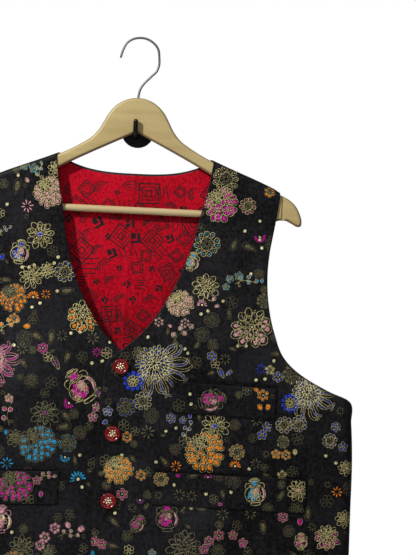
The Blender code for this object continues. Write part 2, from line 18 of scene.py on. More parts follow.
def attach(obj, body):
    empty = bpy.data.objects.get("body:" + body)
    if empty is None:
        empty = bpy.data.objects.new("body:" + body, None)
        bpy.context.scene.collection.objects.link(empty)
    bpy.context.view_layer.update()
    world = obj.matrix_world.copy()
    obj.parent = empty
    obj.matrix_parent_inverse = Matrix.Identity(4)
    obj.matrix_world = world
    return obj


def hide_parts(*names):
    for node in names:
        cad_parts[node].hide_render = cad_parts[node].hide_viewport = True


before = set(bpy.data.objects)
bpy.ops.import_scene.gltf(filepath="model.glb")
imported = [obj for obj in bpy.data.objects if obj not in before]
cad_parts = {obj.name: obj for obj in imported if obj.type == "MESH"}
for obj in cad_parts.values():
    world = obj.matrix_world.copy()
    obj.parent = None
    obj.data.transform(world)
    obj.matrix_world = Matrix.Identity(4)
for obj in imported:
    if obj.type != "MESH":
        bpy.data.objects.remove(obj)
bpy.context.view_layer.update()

MM = 0.001
QUARTER = math.pi / 2

# Garment sizes
LENGTH = 571.5 * MM  # shoulder point beside the neck to the front points
NECK_HALF = 90.3 * MM
NECK_TOP = -29.3 * MM  # height of the shoulder point beside the neck
SHOULDER_HALF = 169.2 * MM
SHOULDER_SLOPE = 0.4266
LEAN = 0.029  # sideways run of the centre line for each unit of drop
LEAN_TOP = -70.0 * MM
SEAM_GAP = 0.3 * MM

# Cloth walls
FRONT_CLOTH = 1.6 * MM
BACK_CLOTH = 1.0 * MM
LINING_CLOTH = 1.0 * MM
WELT_CLOTH = 1.3 * MM

# Hanger, from the wall outwards
HANGER_BACK = 10.0 * MM
HANGER_THICK = 12.0 * MM
HANGER_MID = -(HANGER_BACK + HANGER_THICK / 2)
HANGER_EDGE_ROUND = 3.2 * MM

# What shows inside a front, in steps of its grid
FACING_COLUMNS = 9
HEM_ROWS = 7
OUTSIDE, INSIDE, RIM = 0, 1, 2  # which side of a cloth wall a face is on

# Where the cloth lies over the hanger's arms
FRONT_FACE = -(HANGER_BACK + HANGER_THICK + 0.35 * MM + FRONT_CLOTH)
BACK_FACE = -(HANGER_BACK - 0.55 * MM - LINING_CLOTH - SEAM_GAP - BACK_CLOTH)
ROLL = 4.5 * MM  # radius of the turn over the arm
ROLL_ARC = ROLL * QUARTER
SHOULDER_SLACK = 1.6 * MM  # how much fuller the cloth lies over the arm near its end
ARM_LINE = NECK_TOP - ROLL
FRONT_SEAM_Y = HANGER_MID - SEAM_GAP / 2
BACK_SEAM_Y = HANGER_MID + SEAM_GAP / 2

UNDER_STEP = 2.15 * MM  # how far the under front lies behind the over front
BUTTON_RADIUS = 9.0 * MM
BUTTONS = (1, 2, 3, 4)
GAP_U = -19.6 * MM  # where the under front sinks beside the over front's edge
GAP_SINK = 1.7 * MM
GAP_WIDE = 2.0 * MM
GAP_START = (260.0 * MM, 290.0 * MM)  # how far down it begins and is at its full depth
CREASE_GAIN = 1.6  # how much stronger the creases of a front are than their table says

# Sections of a front, from the shoulder down, in millimetres
FRONT_COLUMNS = ("share", "edge_u", "edge_z", "side_u", "side_z", "closing")
FRONT_SECTIONS = (
    (0.000, 90.3, -33.8, 169.2, -67.6, 0.0),
    (0.060, 86.6, -58.0, 165.8, -101.0, 0.0),
    (0.120, 81.0, -84.0, 162.2, -133.0, 0.0),
    (0.200, 72.5, -127.0, 162.4, -168.0, 0.0),
    (0.265, 62.5, -160.0, 166.8, -197.0, 0.0),
    (0.325, 50.5, -188.0, 174.6, -223.0, 0.05),
    (0.380, 36.5, -212.5, 188.5, -252.5, 0.20),
    (0.425, 20.5, -234.0, 211.0, -272.0, 0.50),
    (0.465, 1.5, -251.5, 243.0, -288.5, 0.85),
    (0.500, -14.0, -266.0, 267.2, -298.5, 1.0),
    (0.550, -17.5, -300.0, 271.5, -324.0, 1.0),
    (0.620, -17.5, -346.0, 275.5, -362.0, 1.0),
    (0.740, -17.5, -420.0, 278.6, -430.0, 1.0),
    (0.870, -17.5, -490.0, 282.0, -503.0, 1.0),
    (1.000, -17.5, -552.0, 285.0, -572.0, 1.0),
)
FRONT_HEM = -552.0 * MM
FRONT_POINT_U = 34.0 * MM
FRONT_FLAT = 0.9  # share of a front's width before its side turns

BACK_FLAT = 0.95
BACK_NECK_CENTRE = -48.7 * MM
BACK_NECK_POWER = 3.0
BACK_NECK_TURN = 85.0 * MM
BACK_NECK_EDGE = 1.3 * MM
BACK_HEM_CENTRE = -584.0 * MM
BACK_SEAM_STEPS = (0.0, 0.004, 0.009)  # close columns beside the seam down the back
LINING_TOP = 0.002  # where the lining begins and ends, as shares of the back's length
LINING_HEM = 0.975
LINING_SIDE = BACK_FLAT - 0.015  # and its half width
SEAM_SINK = 0.7 * MM  # how deep the seam down the back lies
SEAM_WIDE = 1.4 * MM

# Folds and creases, each a soft ridge or trough along a line, in millimetres. A positive height
# stands out from the body. The first rows of each table are the folds that the solids have too.
FOLD_COLUMNS = ("start_u", "start_z", "end_u", "end_z", "half_width", "height")
FRONT_FOLDS = (
    (-112, -190, -92, -452, 26, 3.2),
    (-190, -300, -172, -572, 24, -3),
    (-62, -440, -56, -590, 20, 2.2),
    (40, -402, 112, -438, 20, -2.6),
    (96, -170, 128, -262, 24, 2.6),
    (118, -440, 110, -590, 26, 3.4),
    (206, -330, 196, -560, 25, 2.6),
)
FRONT_CREASES = (
    (70, -272, 104, -282, 3.6, -1.1),
    (48, -273, 84, -287, 4.2, 0.8),
    (-4, -388, 44, -372, 7, -0.9),
    (6, -352, 70, -340, 9, 0.8),
    (20, -300, 74, -262, 10, 0.7),
    (-60, -300, -18, -318, 8, -0.8),
    (-96, -362, -30, -368, 9, 0.8),
    (-70, -432, -40, -436, 4, -0.8),
    (228, -322, 262, -352, 8, -1.1),
    (216, -345, 258, -372, 8, 0.9),
    (150, -120, 128, -190, 10, -0.8),
    (96, -96, 116, -150, 9, 0.7),
    (60, -456, 96, -520, 10, -1),
    (150, -452, 168, -560, 12, -1.2),
    (0, -480, 30, -560, 10, 0.9),
    (-128, -96, -112, -176, 11, 0.8),
    (-146, -210, -120, -300, 12, -0.9),
    (-236, -320, -262, -352, 9, 1),
    (-216, -470, -230, -560, 12, 1.1),
    (-120, -470, -128, -570, 12, -1.1),
)
BACK_FOLDS = (
    (-78, -170, -96, -560, 26, 2.4),
    (64, -190, 88, -575, 30, 2.4),
    (-8, -260, 2, -575, 24, -2.4),
    (176, -320, 182, -560, 26, -2.4),
    (-184, -340, -178, -560, 26, -2.2),
)
BACK_CREASES = (
    (-150, -110, -96, -168, 11, 0.9),
    (142, -112, 104, -176, 12, 0.8),
    (-60, -120, -24, -190, 12, -0.8),
    (40, -330, 130, -352, 10, 0.9),
    (-136, -372, -40, -352, 11, -0.9),
    (210, -340, 150, -382, 9, 0.9),
    (-220, -330, -160, -366, 9, 0.8),
    (126, -420, 138, -560, 12, 1.1),
    (-40, -430, -46, -566, 13, 1),
    (-232, -430, -238, -560, 12, 1),
)

# Welt pockets, millimetres. The ends are in u, the tops are heights at each end.
WELT_COLUMNS = ("name", "inner_u", "outer_u", "inner_top", "outer_top", "depth")
WELT_TABLE = (
    ("welt_chest", 63.0, 183.0, -285.6, -288.0, 35.6),
    ("welt_left", 49.0, 225.0, -390.0, -390.6, 38.5),
    ("welt_right", -59.0, -235.0, -394.8, -402.0, 38.5),
)
WELTS = [dict(zip(WELT_COLUMNS, row)) for row in WELT_TABLE]

# Half outline of the hanger: from the middle of its dome to its tip, and back along its lower side
HANGER_UPPER = (
    (0, 38.4), (12, 36.4), (23, 30.4), (31.5, 21.5), (37.5, 11), (43, 1),
    (51, -8.5), (63, -16.8), (77, -24.8), (90, -31.2), (169, -64.95),
    (178, -69.2), (185, -74.4), (190.3, -81.4), (193.8, -89.2), (195.2, -96.2),
)
HANGER_LOWER = (
    (194.2, -100.3), (191, -101), (184, -97.9), (177, -94.6), (170.5, -94.4), (158, -98.4),
    (147, -98.4), (139, -91), (130, -75), (112, -60.3), (88, -46.2), (0, -1.2),
)
GROOVE_U = 173.5 * MM
GROOVE_WIDE = 5.0 * MM
GROOVE_DEEP = 1.2 * MM
GROOVE_SPAN = (-110.0 * MM, -50.0 * MM)  # heights that the groove's cutter spans
HOOK_BORE = (20.0, 45.0)  # heights of the ends of the wire hook's bore, millimetres
CRISP = 40.0  # edges of wood and moulding sharper than this many degrees stay crisp
BAR_RADIUS = 4.0 * MM
BAR_HEIGHT = -91.3 * MM
BAR_SOCKET_INNER = 128.0 * MM
BAR_HALF = 149.0 * MM

WIRE_RADIUS = 1.35 * MM
HOOK_PATH = (
    (0, 20.4), (0, 34), (0.2, 41), (1.2, 46.2), (2.7, 50.5), (5.3, 54.5), (13, 63),
    (20.2, 71), (21.9, 76.3), (21.9, 85.8), (19.8, 96.3), (11.8, 104.4), (5, 107.2),
    (-1.7, 107.7), (-9.2, 106), (-15.7, 101.6), (-19.7, 94.3), (-22.8, 83.4),
)
PLATE_RADIUS = 18.9 * MM
PLATE_SHIFT = 1.2 * MM  # how far the plate sits to the wearer's left
PLATE_THICK = 5.0 * MM
PLATE_ROUND = 1.4 * MM
PRONG_RADIUS = 2.75 * MM
PRONG_LEAN = 1.3 * MM  # how far the prong's free end leans to the wearer's right
PRONG_PATH = (
    (2, -6.6), (6, -6.4), (10.5, -4.8), (15, -4.3), (20, -4.3),
    (24.2, -2.6), (26.3, 1.6), (26.6, 7.5), (26.6, 13.9),
)


# The garment's form, as the solids have it, with finer creases laid on it

def smooth_step(low, high, value):
    t = np.clip((value - low) / (high - low), 0.0, 1.0)
    return t * t * (3.0 - 2.0 * t)


def curve_through(places, values, at):
    """A smooth curve through the rows of a table, read at any number of places."""
    places, values = np.asarray(places, float), np.asarray(values, float)
    steps = np.diff(places)
    slopes = np.diff(values) / steps
    inner = (slopes[:-1] * steps[1:] + slopes[1:] * steps[:-1]) / (steps[:-1] + steps[1:])
    tangents = np.concatenate([slopes[:1], inner, slopes[-1:]])
    row = np.clip(np.searchsorted(places, at, side="right") - 1, 0, len(steps) - 1)
    t = (at - places[row]) / steps[row]
    return (
        values[row] * (1 + 2 * t) * (1 - t) ** 2
        + tangents[row] * steps[row] * t * (1 - t) ** 2
        + values[row + 1] * t * t * (3 - 2 * t)
        + tangents[row + 1] * steps[row] * t * t * (t - 1)
    )


SECTION = {name: np.array([row[i] for row in FRONT_SECTIONS]) for i, name in enumerate(FRONT_COLUMNS)}


def section(column, share):
    return curve_through(SECTION["share"], SECTION[column], share) * MM


def closing_at(share):
    """How far a front and the back have closed on each other at the side: 0 is open, 1 is sewn."""
    return np.clip(curve_through(SECTION["share"], SECTION["closing"], share), 0.0, 1.0)


def side_width(z):
    """Half width of the garment at a height."""
    return np.interp(-z, -SECTION["side_z"] * MM, SECTION["side_u"] * MM)


def centre_line(z):
    """X of the garment's own centre line at a height."""
    return LEAN * np.minimum(z - LEAN_TOP, 0.0)


def folds(table, u, z):
    """How far the folds of a table stand out at a point. Each fades out towards its two ends."""
    total = np.zeros(np.broadcast(u, z).shape)
    for row in table:
        fold = dict(zip(FOLD_COLUMNS, row))
        start = np.array([fold["start_u"], fold["start_z"]]) * MM
        run = np.array([fold["end_u"], fold["end_z"]]) * MM - start
        along = ((u - start[0]) * run[0] + (z - start[1]) * run[1]) / (run @ run)
        across = ((u - start[0]) * run[1] - (z - start[1]) * run[0]) / math.sqrt(run @ run)
        fade = smooth_step(-0.12, 0.25, along) * (1 - smooth_step(0.7, 1.12, along))
        width = fold["half_width"] * MM
        total = total + fold["height"] * MM * fade * np.exp(-((across / width) ** 2))
    return total


def ripple(u, z, phase):
    """The slight unevenness of hanging cloth, about half a millimetre either way."""
    a = np.sin(u * 61.0 + 2.1 * np.sin(z * 23.0 + phase) + phase)
    b = np.sin(z * 47.0 + 1.7 * np.sin(u * 31.0 - phase) + 2.0 * phase)
    c = np.sin(u * 137.0 + z * 59.0 + 1.3 * np.sin(z * 83.0) + phase)
    return (0.22 * a + 0.2 * b + 0.1 * c) * MM


def fullness(z):
    """How far the fronts stand out over the chest, less at the waist and again more below it."""
    chest = 12.0 * MM * smooth_step(115.0 * MM, 300.0 * MM, -z)
    waist = 2.5 * MM * smooth_step(330.0 * MM, 420.0 * MM, -z)
    skirt = 3.0 * MM * smooth_step(430.0 * MM, 560.0 * MM, -z)
    return chest - waist + skirt


def along_welt(welt, share, measure):
    """A welt's measure, in metres, at a share of the way from its inner to its outer end."""
    inner, outer = welt["inner_" + measure], welt["outer_" + measure]
    return (inner + (outer - inner) * share) * MM


def pocket_mouths(u, z):
    """How far a front sinks along the top of each welt, where the cloth is cut for the pocket."""
    total = np.zeros(np.broadcast(u, z).shape)
    for welt in WELTS:
        low, high = sorted((welt["inner_u"] * MM, welt["outer_u"] * MM))
        share = (u - welt["inner_u"] * MM) / ((welt["outer_u"] - welt["inner_u"]) * MM)
        above = z - along_welt(welt, share, "top") - 0.4 * MM
        from_low = smooth_step(low - 3 * MM, low + 6 * MM, u)
        from_high = 1 - smooth_step(high - 6 * MM, high + 3 * MM, u)
        total = total + 1.5 * MM * from_low * from_high * np.exp(-((above / (2.4 * MM)) ** 2))
    return total


def sideways(u, z):
    """(share, calm) at a place: how far out it lies, and 1 where folds may lie, less near the side."""
    share = np.clip(np.abs(u) / side_width(z), 0.0, 1.0)
    return share, 1 - smooth_step(0.88, 1.0, share)


def front_depth(u, z, side):
    """Y of a front's outer face. side is 1 for the wearer's left front, which lies over."""
    share, calm = sideways(u, z)
    depth = FRONT_FACE - fullness(z) * (1 - share**2.6)
    depth = depth - folds(FRONT_FOLDS, u, z) * calm
    if side < 0:
        depth = depth + UNDER_STEP * smooth_step(-75.0 * MM, -24.0 * MM, u)
        sunk = np.exp(-(((u - GAP_U) / GAP_WIDE) ** 2)) * smooth_step(*GAP_START, -z)
        depth = depth + GAP_SINK * sunk
    free = smooth_step(70.0 * MM, 120.0 * MM, -z) * calm
    fine = CREASE_GAIN * folds(FRONT_CREASES, u, z) + ripple(u, z, 0.4 + side)
    return depth - fine * free + pocket_mouths(u, z)


def back_depth(u, z):
    """Y of the back's outer face."""
    share, calm = sideways(u, z)
    hollow = 2.0 * MM * smooth_step(115.0 * MM, 280.0 * MM, -z) * (1 - share**4)
    free = smooth_step(110.0 * MM, 160.0 * MM, -z) * calm
    fine = (folds(BACK_CREASES, u, z) + ripple(u, z, 2.3)) * free
    fine = fine - SEAM_SINK * np.exp(-((u / SEAM_WIDE) ** 2))
    return BACK_FACE + hollow + folds(BACK_FOLDS, u, z) * calm + fine


def side_turn(side_u, closing, turn):
    """u over a panel's side, where it turns in to the seam. turn goes from 0 to 1."""
    reach = (3.0 + 7.0 * closing) * MM
    done = turn + closing * (np.sin(turn * QUARTER) - turn)
    return side_u - reach * (1 - done)


def over_arm(distance, seam_y, face_y):
    """(y, height) of the cloth on its way from the face of the hanger's arm over its top."""
    towards = math.copysign(1.0, seam_y - face_y)
    angle = np.clip(-distance / ROLL, 0.0, QUARTER)
    run = np.maximum(-distance - ROLL_ARC, 0.0)
    return towards * (ROLL * (1 - np.cos(angle)) + run), ROLL * np.sin(angle)


def arm_length(seam_y, face_y):
    return ROLL_ARC + abs(seam_y - face_y) - ROLL


def fuller(height, u):
    """A height over the arm, raised where the cloth lies loose towards the shoulder's end."""
    towards_end = smooth_step(95.0 * MM, 150.0 * MM, u) * (1 - smooth_step(160.0 * MM, 171.0 * MM, u))
    return height * (1 + SHOULDER_SLACK / ROLL * towards_end)


def hem_dip(u, share):
    """How far the front's hem drops below a straight line from front edge to side seam."""
    rise = smooth_step(-21.5 * MM, FRONT_POINT_U, u) ** 1.2
    fall = 1 - smooth_step(FRONT_POINT_U, 190.0 * MM, u)
    depth = FRONT_HEM - 4.0 * MM - (NECK_TOP - LENGTH)
    return depth * rise * fall * smooth_step(0.78, 1.0, share)


def front_surface(across, down, side):
    """Outer face of a front. across is 0 at the front edge and 1 at the side edge. down is -1 to 0
    over the hanger's arm and 0 to 1 to the hem."""
    share = np.maximum(down, 0.0)
    edge_u, side_u = section("edge_u", share), section("side_u", share)
    edge_z, side_z = section("edge_z", share), section("side_z", share)
    closing = closing_at(share)
    turn = np.maximum((across - FRONT_FLAT) / (1 - FRONT_FLAT), 0.0)
    flat_u = edge_u + (side_turn(side_u, closing, 0.0) - edge_u) * across / FRONT_FLAT
    u = np.where(across < FRONT_FLAT, flat_u, side_turn(side_u, closing, turn))
    z = edge_z + (side_z - edge_z) * (u - edge_u) / (side_u - edge_u) - hem_dip(u, share)
    y = front_depth(side * u, z, side)
    y = y + closing * (FRONT_SEAM_Y - y) * (1 - np.cos(turn * QUARTER))
    distance = np.minimum(down, 0.0) * arm_length(FRONT_SEAM_Y, FRONT_FACE)
    in_y, height = over_arm(distance, FRONT_SEAM_Y, FRONT_FACE)
    height = fuller(height, u)
    return np.stack([centre_line(z + height) + side * u, y + in_y, z + height], axis=-1)


def arm_line(u):
    """Height at which cloth leaves the turn over the hanger's arm."""
    outward = np.maximum(u - NECK_HALF, 0.0)
    inward = np.clip(NECK_HALF - u, 0.0, 17.0 * MM)
    return ARM_LINE - SHOULDER_SLOPE * outward + 0.55 * inward


def back_surface(across, down):
    """Outer face of the back. across is -1 to 1. down is -1 to 0 over the arm, or along the neck
    edge, and 0 to 1 from there to the hem."""
    share = np.maximum(down, 0.0)
    half = np.abs(across)
    flat = np.minimum(half / BACK_FLAT, 1.0)
    turn = np.maximum((half - BACK_FLAT) / (1 - BACK_FLAT), 0.0)
    closing = closing_at(share)
    side_u, side_z = section("side_u", share), section("side_z", share)
    u = np.where(turn > 0, side_turn(side_u, closing, turn), side_turn(side_u, closing, 0.0) * flat)
    shoulder = side_turn(SHOULDER_HALF, 0.0, turn)
    top_u = np.where(turn > 0, shoulder, shoulder * flat)

    rise = (np.minimum(top_u, NECK_HALF) / NECK_HALF) ** BACK_NECK_POWER
    neck_z = BACK_NECK_CENTRE + (NECK_TOP - BACK_NECK_CENTRE) * rise
    around = smooth_step(BACK_NECK_TURN, NECK_HALF, top_u)
    strip = BACK_NECK_EDGE + (arm_length(BACK_SEAM_Y, BACK_FACE) - BACK_NECK_EDGE) * around
    first = (arm_line(top_u) - neck_z + BACK_NECK_EDGE) * (1 - around)
    distance = first + np.minimum(down, 0.0) * strip

    top_z = arm_line(top_u) - np.maximum(distance, 0.0)
    centre_top = BACK_NECK_CENTRE - BACK_NECK_EDGE
    shape = top_z - centre_top - (section("side_z", 0.0) - centre_top) * flat**2
    centre_z = centre_top + (BACK_HEM_CENTRE - centre_top) * share
    z = centre_z + (side_z - centre_z) * flat**2 + shape * (1 - smooth_step(0.0, 0.32, share))
    y = back_depth(np.sign(across) * u, z)
    y = y + closing * (BACK_SEAM_Y - y) * (1 - np.cos(turn * QUARTER))
    in_y, height = over_arm(np.minimum(distance, 0.0), BACK_SEAM_Y, BACK_FACE)
    height = fuller(height, u)
    return np.stack([centre_line(z + height) + np.sign(across) * u, y + in_y, z + height], axis=-1)


def facing(surface, across, down, outward_y):
    """Unit normals of a surface over a grid of places, pointing out of the garment."""
    step = 1e-4
    along_row = surface(across + step, down) - surface(across - step, down)
    along_column = surface(across, down + step) - surface(across, down - step)
    normal = np.cross(along_row, along_column)
    normal /= np.linalg.norm(normal, axis=-1, keepdims=True)
    middle = normal[normal.shape[0] // 2, normal.shape[1] // 2]
    return normal * math.copysign(1.0, middle[1] * outward_y)


# Mesh helpers

def linked(name, data):
    """A new object in the scene, at the origin."""
    made = bpy.data.objects.new(name, data)
    bpy.context.scene.collection.objects.link(made)
    return made


def make_mesh(name, points, faces, materials):
    mesh = bpy.data.meshes.new(name)
    mesh.from_pydata([tuple(point) for point in points], [], faces)
    mesh.update()
    for material in materials:
        mesh.materials.append(material)
    mesh.shade_smooth()
    return linked(name, mesh)


def smoothed(mesh, crease):
    """Smooth shading, with edges sharper than an angle (degrees) left crisp."""
    mesh.shade_smooth()
    if crease is not None:
        mesh.set_sharp_from_angle(angle=math.radians(crease))


def from_bmesh(name, bm, material, crease=None):
    bmesh.ops.recalc_face_normals(bm, faces=bm.faces)
    mesh = bpy.data.meshes.new(name)
    bm.to_mesh(mesh)
    bm.free()
    smoothed(mesh, crease)
    mesh.materials.append(material)
    return linked(name, mesh)


def settle(piece, crease=None):
    """Turns a piece with modifiers into the plain mesh that they make."""
    bpy.context.view_layer.update()
    made = bpy.data.meshes.new_from_object(piece.evaluated_get(bpy.context.evaluated_depsgraph_get()))
    piece.modifiers.clear()
    piece.data = made
    smoothed(made, crease)
    return piece


def combined(piece, operation, tools, crease):
    """A piece cut by its tools, or joined with them. The tools go when they are done."""
    for tool in tools:
        boolean = piece.modifiers.new("boolean", "BOOLEAN")
        boolean.operation = operation
        boolean.object = tool
    settle(piece, crease)
    for tool in tools:
        bpy.data.objects.remove(tool)
    return piece


def skinned(bm, rings):
    """A closed solid over rings of corners, each joined to the next."""
    bm.faces.new(rings[0])
    bm.faces.new(rings[-1])
    for low, high in zip(rings, rings[1:]):
        for k in range(len(low)):
            j = (k + 1) % len(low)
            bm.faces.new((low[k], low[j], high[j], high[k]))
    return bm


def border_places(rows, columns):
    """(row, column) of every place round a grid, in order."""
    top = [(0, c) for c in range(columns - 1)]
    right = [(r, columns - 1) for r in range(rows - 1)]
    bottom = [(rows - 1, c) for c in range(columns - 1, 0, -1)]
    left = [(r, 0) for r in range(rows - 1, 0, -1)]
    return top + right + bottom + left


def cloth_wall(points, normals, out, thickness, rim_steps=4):
    """(points, faces, sides) of a closed cloth wall with a rounded rim. Its outer side lies "out"
    from the surface. sides says of each face whether it is OUTSIDE, INSIDE or on the RIM."""
    rows, columns = points.shape[:2]
    half = thickness / 2
    middle = points + normals * (out - half)
    border = border_places(rows, columns)
    edge = np.array(border)
    inward = np.stack([np.clip(edge[:, 0], 1, rows - 2), np.clip(edge[:, 1], 1, columns - 2)], axis=1)
    normal = normals[edge[:, 0], edge[:, 1]]
    outward = middle[edge[:, 0], edge[:, 1]] - middle[inward[:, 0], inward[:, 1]]
    outward -= normal * np.sum(outward * normal, axis=1, keepdims=True)
    outward /= np.linalg.norm(outward, axis=1, keepdims=True)
    middle[edge[:, 0], edge[:, 1]] -= outward * half
    centre = middle[edge[:, 0], edge[:, 1]]

    count = rows * columns
    layers = [(middle + normals * half).reshape(-1, 3), (middle - normals * half).reshape(-1, 3)]
    angles = np.linspace(QUARTER, -QUARTER, rim_steps + 1)[1:-1]
    for angle in angles:
        layers.append(centre + half * (normal * math.sin(angle) + outward * math.cos(angle)))
    ends = [r * columns + c for r, c in border]
    around = len(border)
    rings = [ends] + [[2 * count + k * around + i for i in range(around)] for k in range(len(angles))]
    rings.append([count + end for end in ends])

    index = np.arange(count).reshape(rows, columns)
    quads = np.stack([index[:-1, :-1], index[:-1, 1:], index[1:, 1:], index[1:, :-1]], axis=-1)
    quads = quads.reshape(-1, 4)
    first = points[0, 1] - points[0, 0]
    second = points[1, 0] - points[0, 0]
    same_way = np.dot(np.cross(first, second), normals[0, 0]) > 0
    outer = quads if same_way else quads[:, ::-1]
    faces = outer.tolist() + (outer[:, ::-1] + count).tolist()
    sides = [OUTSIDE] * len(quads) + [INSIDE] * len(quads)
    for low, high in zip(rings, rings[1:]):
        for i in range(around):
            j = (i + 1) % around
            face = (low[i], high[i], high[j], low[j])
            faces.append(face if same_way else face[::-1])
            sides.append(RIM)
    return np.concatenate(layers), faces, sides


def spread(*stretches):
    """Places along a panel, from (end, number of steps) for each stretch after the first place."""
    places = [stretches[0]]
    for end, steps in stretches[1:]:
        places.extend(np.linspace(places[-1], end, steps + 1)[1:])
    return np.array(places)


def tube(path, radii, sides):
    """A closed tube along points, with a ring for each. The rings keep their turn between points."""
    points = [Vector(point) for point in path]
    bm = bmesh.new()
    rings = []
    reference = None
    for i, point in enumerate(points):
        ahead = points[min(i + 1, len(points) - 1)] - points[max(i - 1, 0)]
        ahead.normalize()
        if reference is None:
            reference = ahead.orthogonal()
        reference = (reference - ahead * reference.dot(ahead)).normalized()
        other = ahead.cross(reference)
        angles = [2 * math.pi * k / sides for k in range(sides)]
        spokes = [reference * math.cos(a) + other * math.sin(a) for a in angles]
        rings.append([bm.verts.new(point + spoke * radii[i]) for spoke in spokes])
    return skinned(bm, rings)


def turned(profile, segments):
    """A closed solid turned round Z from (radius, height) points that start and end on the axis."""
    bm = bmesh.new()
    rings = []
    for radius, height in profile[1:-1]:
        angles = [2 * math.pi * i / segments for i in range(segments)]
        rings.append([bm.verts.new((radius * math.cos(a), radius * math.sin(a), height)) for a in angles])
    ends = [bm.verts.new((0.0, 0.0, profile[i][1])) for i in (0, -1)]
    for i in range(segments):
        j = (i + 1) % segments
        bm.faces.new((ends[0], rings[0][i], rings[0][j]))
        bm.faces.new((ends[1], rings[-1][j], rings[-1][i]))
        for low, high in zip(rings, rings[1:]):
            bm.faces.new((low[i], high[i], high[j], low[j]))
    return bm


def smooth_path(points, steps):
    """Even places on a smooth curve through points in a plane, from (a, b) pairs in millimetres."""
    corners = np.array(points) * MM
    along = np.concatenate([[0.0], np.cumsum(np.linalg.norm(np.diff(corners, axis=0), axis=1))])
    at = np.linspace(0.0, along[-1], steps + 1)
    return [curve_through(along, corners[:, i], at) for i in (0, 1)]


# Materials

def add_node(tree, kind, inputs):
    """A new node. inputs gives its sockets, by name or number, a value or another node's output."""
    node = tree.nodes.new(kind)
    for socket, value in inputs.items():
        if isinstance(value, bpy.types.NodeSocket):
            tree.links.new(value, node.inputs[socket])
        else:
            node.inputs[socket].default_value = value
    return node


def new_material(name, roughness, metallic=0.0, specular=0.5):
    material = bpy.data.materials.new(name)
    material.use_nodes = True
    shader = material.node_tree.nodes["Principled BSDF"]
    shader.inputs["Roughness"].default_value = roughness
    shader.inputs["Metallic"].default_value = metallic
    shader.inputs["Specular IOR Level"].default_value = specular
    return material, material.node_tree, shader


def object_points(tree, scale):
    """Object coordinates, scaled along each axis."""
    place = add_node(tree, "ShaderNodeTexCoord", {}).outputs["Object"]
    return add_node(tree, "ShaderNodeMapping", {"Scale": scale, "Vector": place}).outputs["Vector"]


def noise(tree, scale, detail=2.0, stretch=(1.0, 1.0, 1.0)):
    inputs = {"Scale": scale, "Detail": detail, "Vector": object_points(tree, stretch)}
    return add_node(tree, "ShaderNodeTexNoise", inputs).outputs["Fac"]


def cross_ribs(tree, scale):
    """Even ribs, one above another."""
    inputs = {"Scale": scale, "Vector": object_points(tree, (1.0, 1.0, 1.0))}
    node = add_node(tree, "ShaderNodeTexWave", inputs)
    node.bands_direction = "Z"
    return node.outputs["Fac"]


def ramp(tree, value, low, high):
    """A colour ramp between two (place, colour) stops."""
    node = add_node(tree, "ShaderNodeValToRGB", {"Fac": value})
    for element, (place, colour) in zip(node.color_ramp.elements, (low, high)):
        element.position = place
        element.color = (*colour, 1.0)
    return node.outputs["Color"]


def span(tree, value, low, high):
    """A value from 0..1 moved to low..high."""
    inputs = {"Value": value, "To Min": low, "To Max": high}
    return add_node(tree, "ShaderNodeMapRange", inputs).outputs["Result"]


def combine(tree, operation, *values):
    node = add_node(tree, "ShaderNodeMath", dict(enumerate(values)))
    node.operation = operation
    return node.outputs["Value"]


def weighted(tree, *parts):
    """The sum of values, each from a (value, weight) pair."""
    total = None
    for value, weight in parts:
        part = combine(tree, "MULTIPLY", value, weight)
        total = part if total is None else combine(tree, "ADD", total, part)
    return total


def upward(tree, output):
    """(height, parts) of a direction from the texture coordinates. Its height goes from 0, straight
    down, to 1, straight up."""
    place = add_node(tree, "ShaderNodeTexCoord", {}).outputs[output]
    parts = add_node(tree, "ShaderNodeSeparateXYZ", {"Vector": place}).outputs
    return combine(tree, "MULTIPLY_ADD", parts["Z"], 0.5, 0.5), parts


def mixed(tree, share, first, second, kind="MIX"):
    """Two colours, mixed by a share or multiplied."""
    node = tree.nodes.new("ShaderNodeMix")
    node.data_type = "RGBA"
    node.blend_type = kind
    for socket, value in ((0, share), (6, first), (7, second)):
        if isinstance(value, float):
            node.inputs[socket].default_value = value
        else:
            tree.links.new(value, node.inputs[socket])
    return node.outputs[2]


def bump(tree, shader, height, distance, strength):
    inputs = {"Strength": strength, "Distance": distance, "Height": height}
    node = add_node(tree, "ShaderNodeBump", inputs)
    tree.links.new(node.outputs["Normal"], shader.inputs["Normal"])


def colour_by(tree, shader, value, low, high):
    tree.links.new(ramp(tree, value, low, high), shader.inputs["Base Color"])


def gloss_by(tree, shader, value, low, high):
    """Roughness from low to high, as a value goes from 0 to 1."""
    tree.links.new(span(tree, value, low, high), shader.inputs["Roughness"])


def clear_coat(shader, weight, roughness):
    shader.inputs["Coat Weight"].default_value = weight
    shader.inputs["Coat Roughness"].default_value = roughness


def speckled(made, speck, stops, gloss=None, relief=None):
    """A material whose colour, gloss and relief follow one fine noise. made is what new_material
    gives, speck the noise's scale and detail, gloss the roughness at its ends, relief the depth and
    strength of the bump."""
    material, tree, shader = made
    value = noise(tree, *speck)
    colour_by(tree, shader, value, *stops)
    if gloss:
        gloss_by(tree, shader, value, *gloss)
    if relief:
        bump(tree, shader, value, *relief)
    return material


def satin(name, dark, light, roughness, specular):
    """Satin with fine warp floats, faint cross ribs, and a figure and a slow change in its tone."""
    material, tree, shader = new_material(name, roughness, specular=specular)
    floats = noise(tree, 1.0, 3.0, (1600.0, 1600.0, 90.0))
    figure = noise(tree, 260.0, 3.0)
    slow = noise(tree, 14.0, 2.0)
    tone = weighted(tree, (floats, 0.25), (slow, 0.3), (figure, 0.45))
    colour_by(tree, shader, tone, (0.4, dark), (0.6, light))
    gloss_by(tree, shader, floats, roughness - 0.08, roughness + 0.1)
    bump(tree, shader, weighted(tree, (floats, 1.0), (cross_ribs(tree, 900.0), 0.3)), 0.00012, 0.6)
    return material


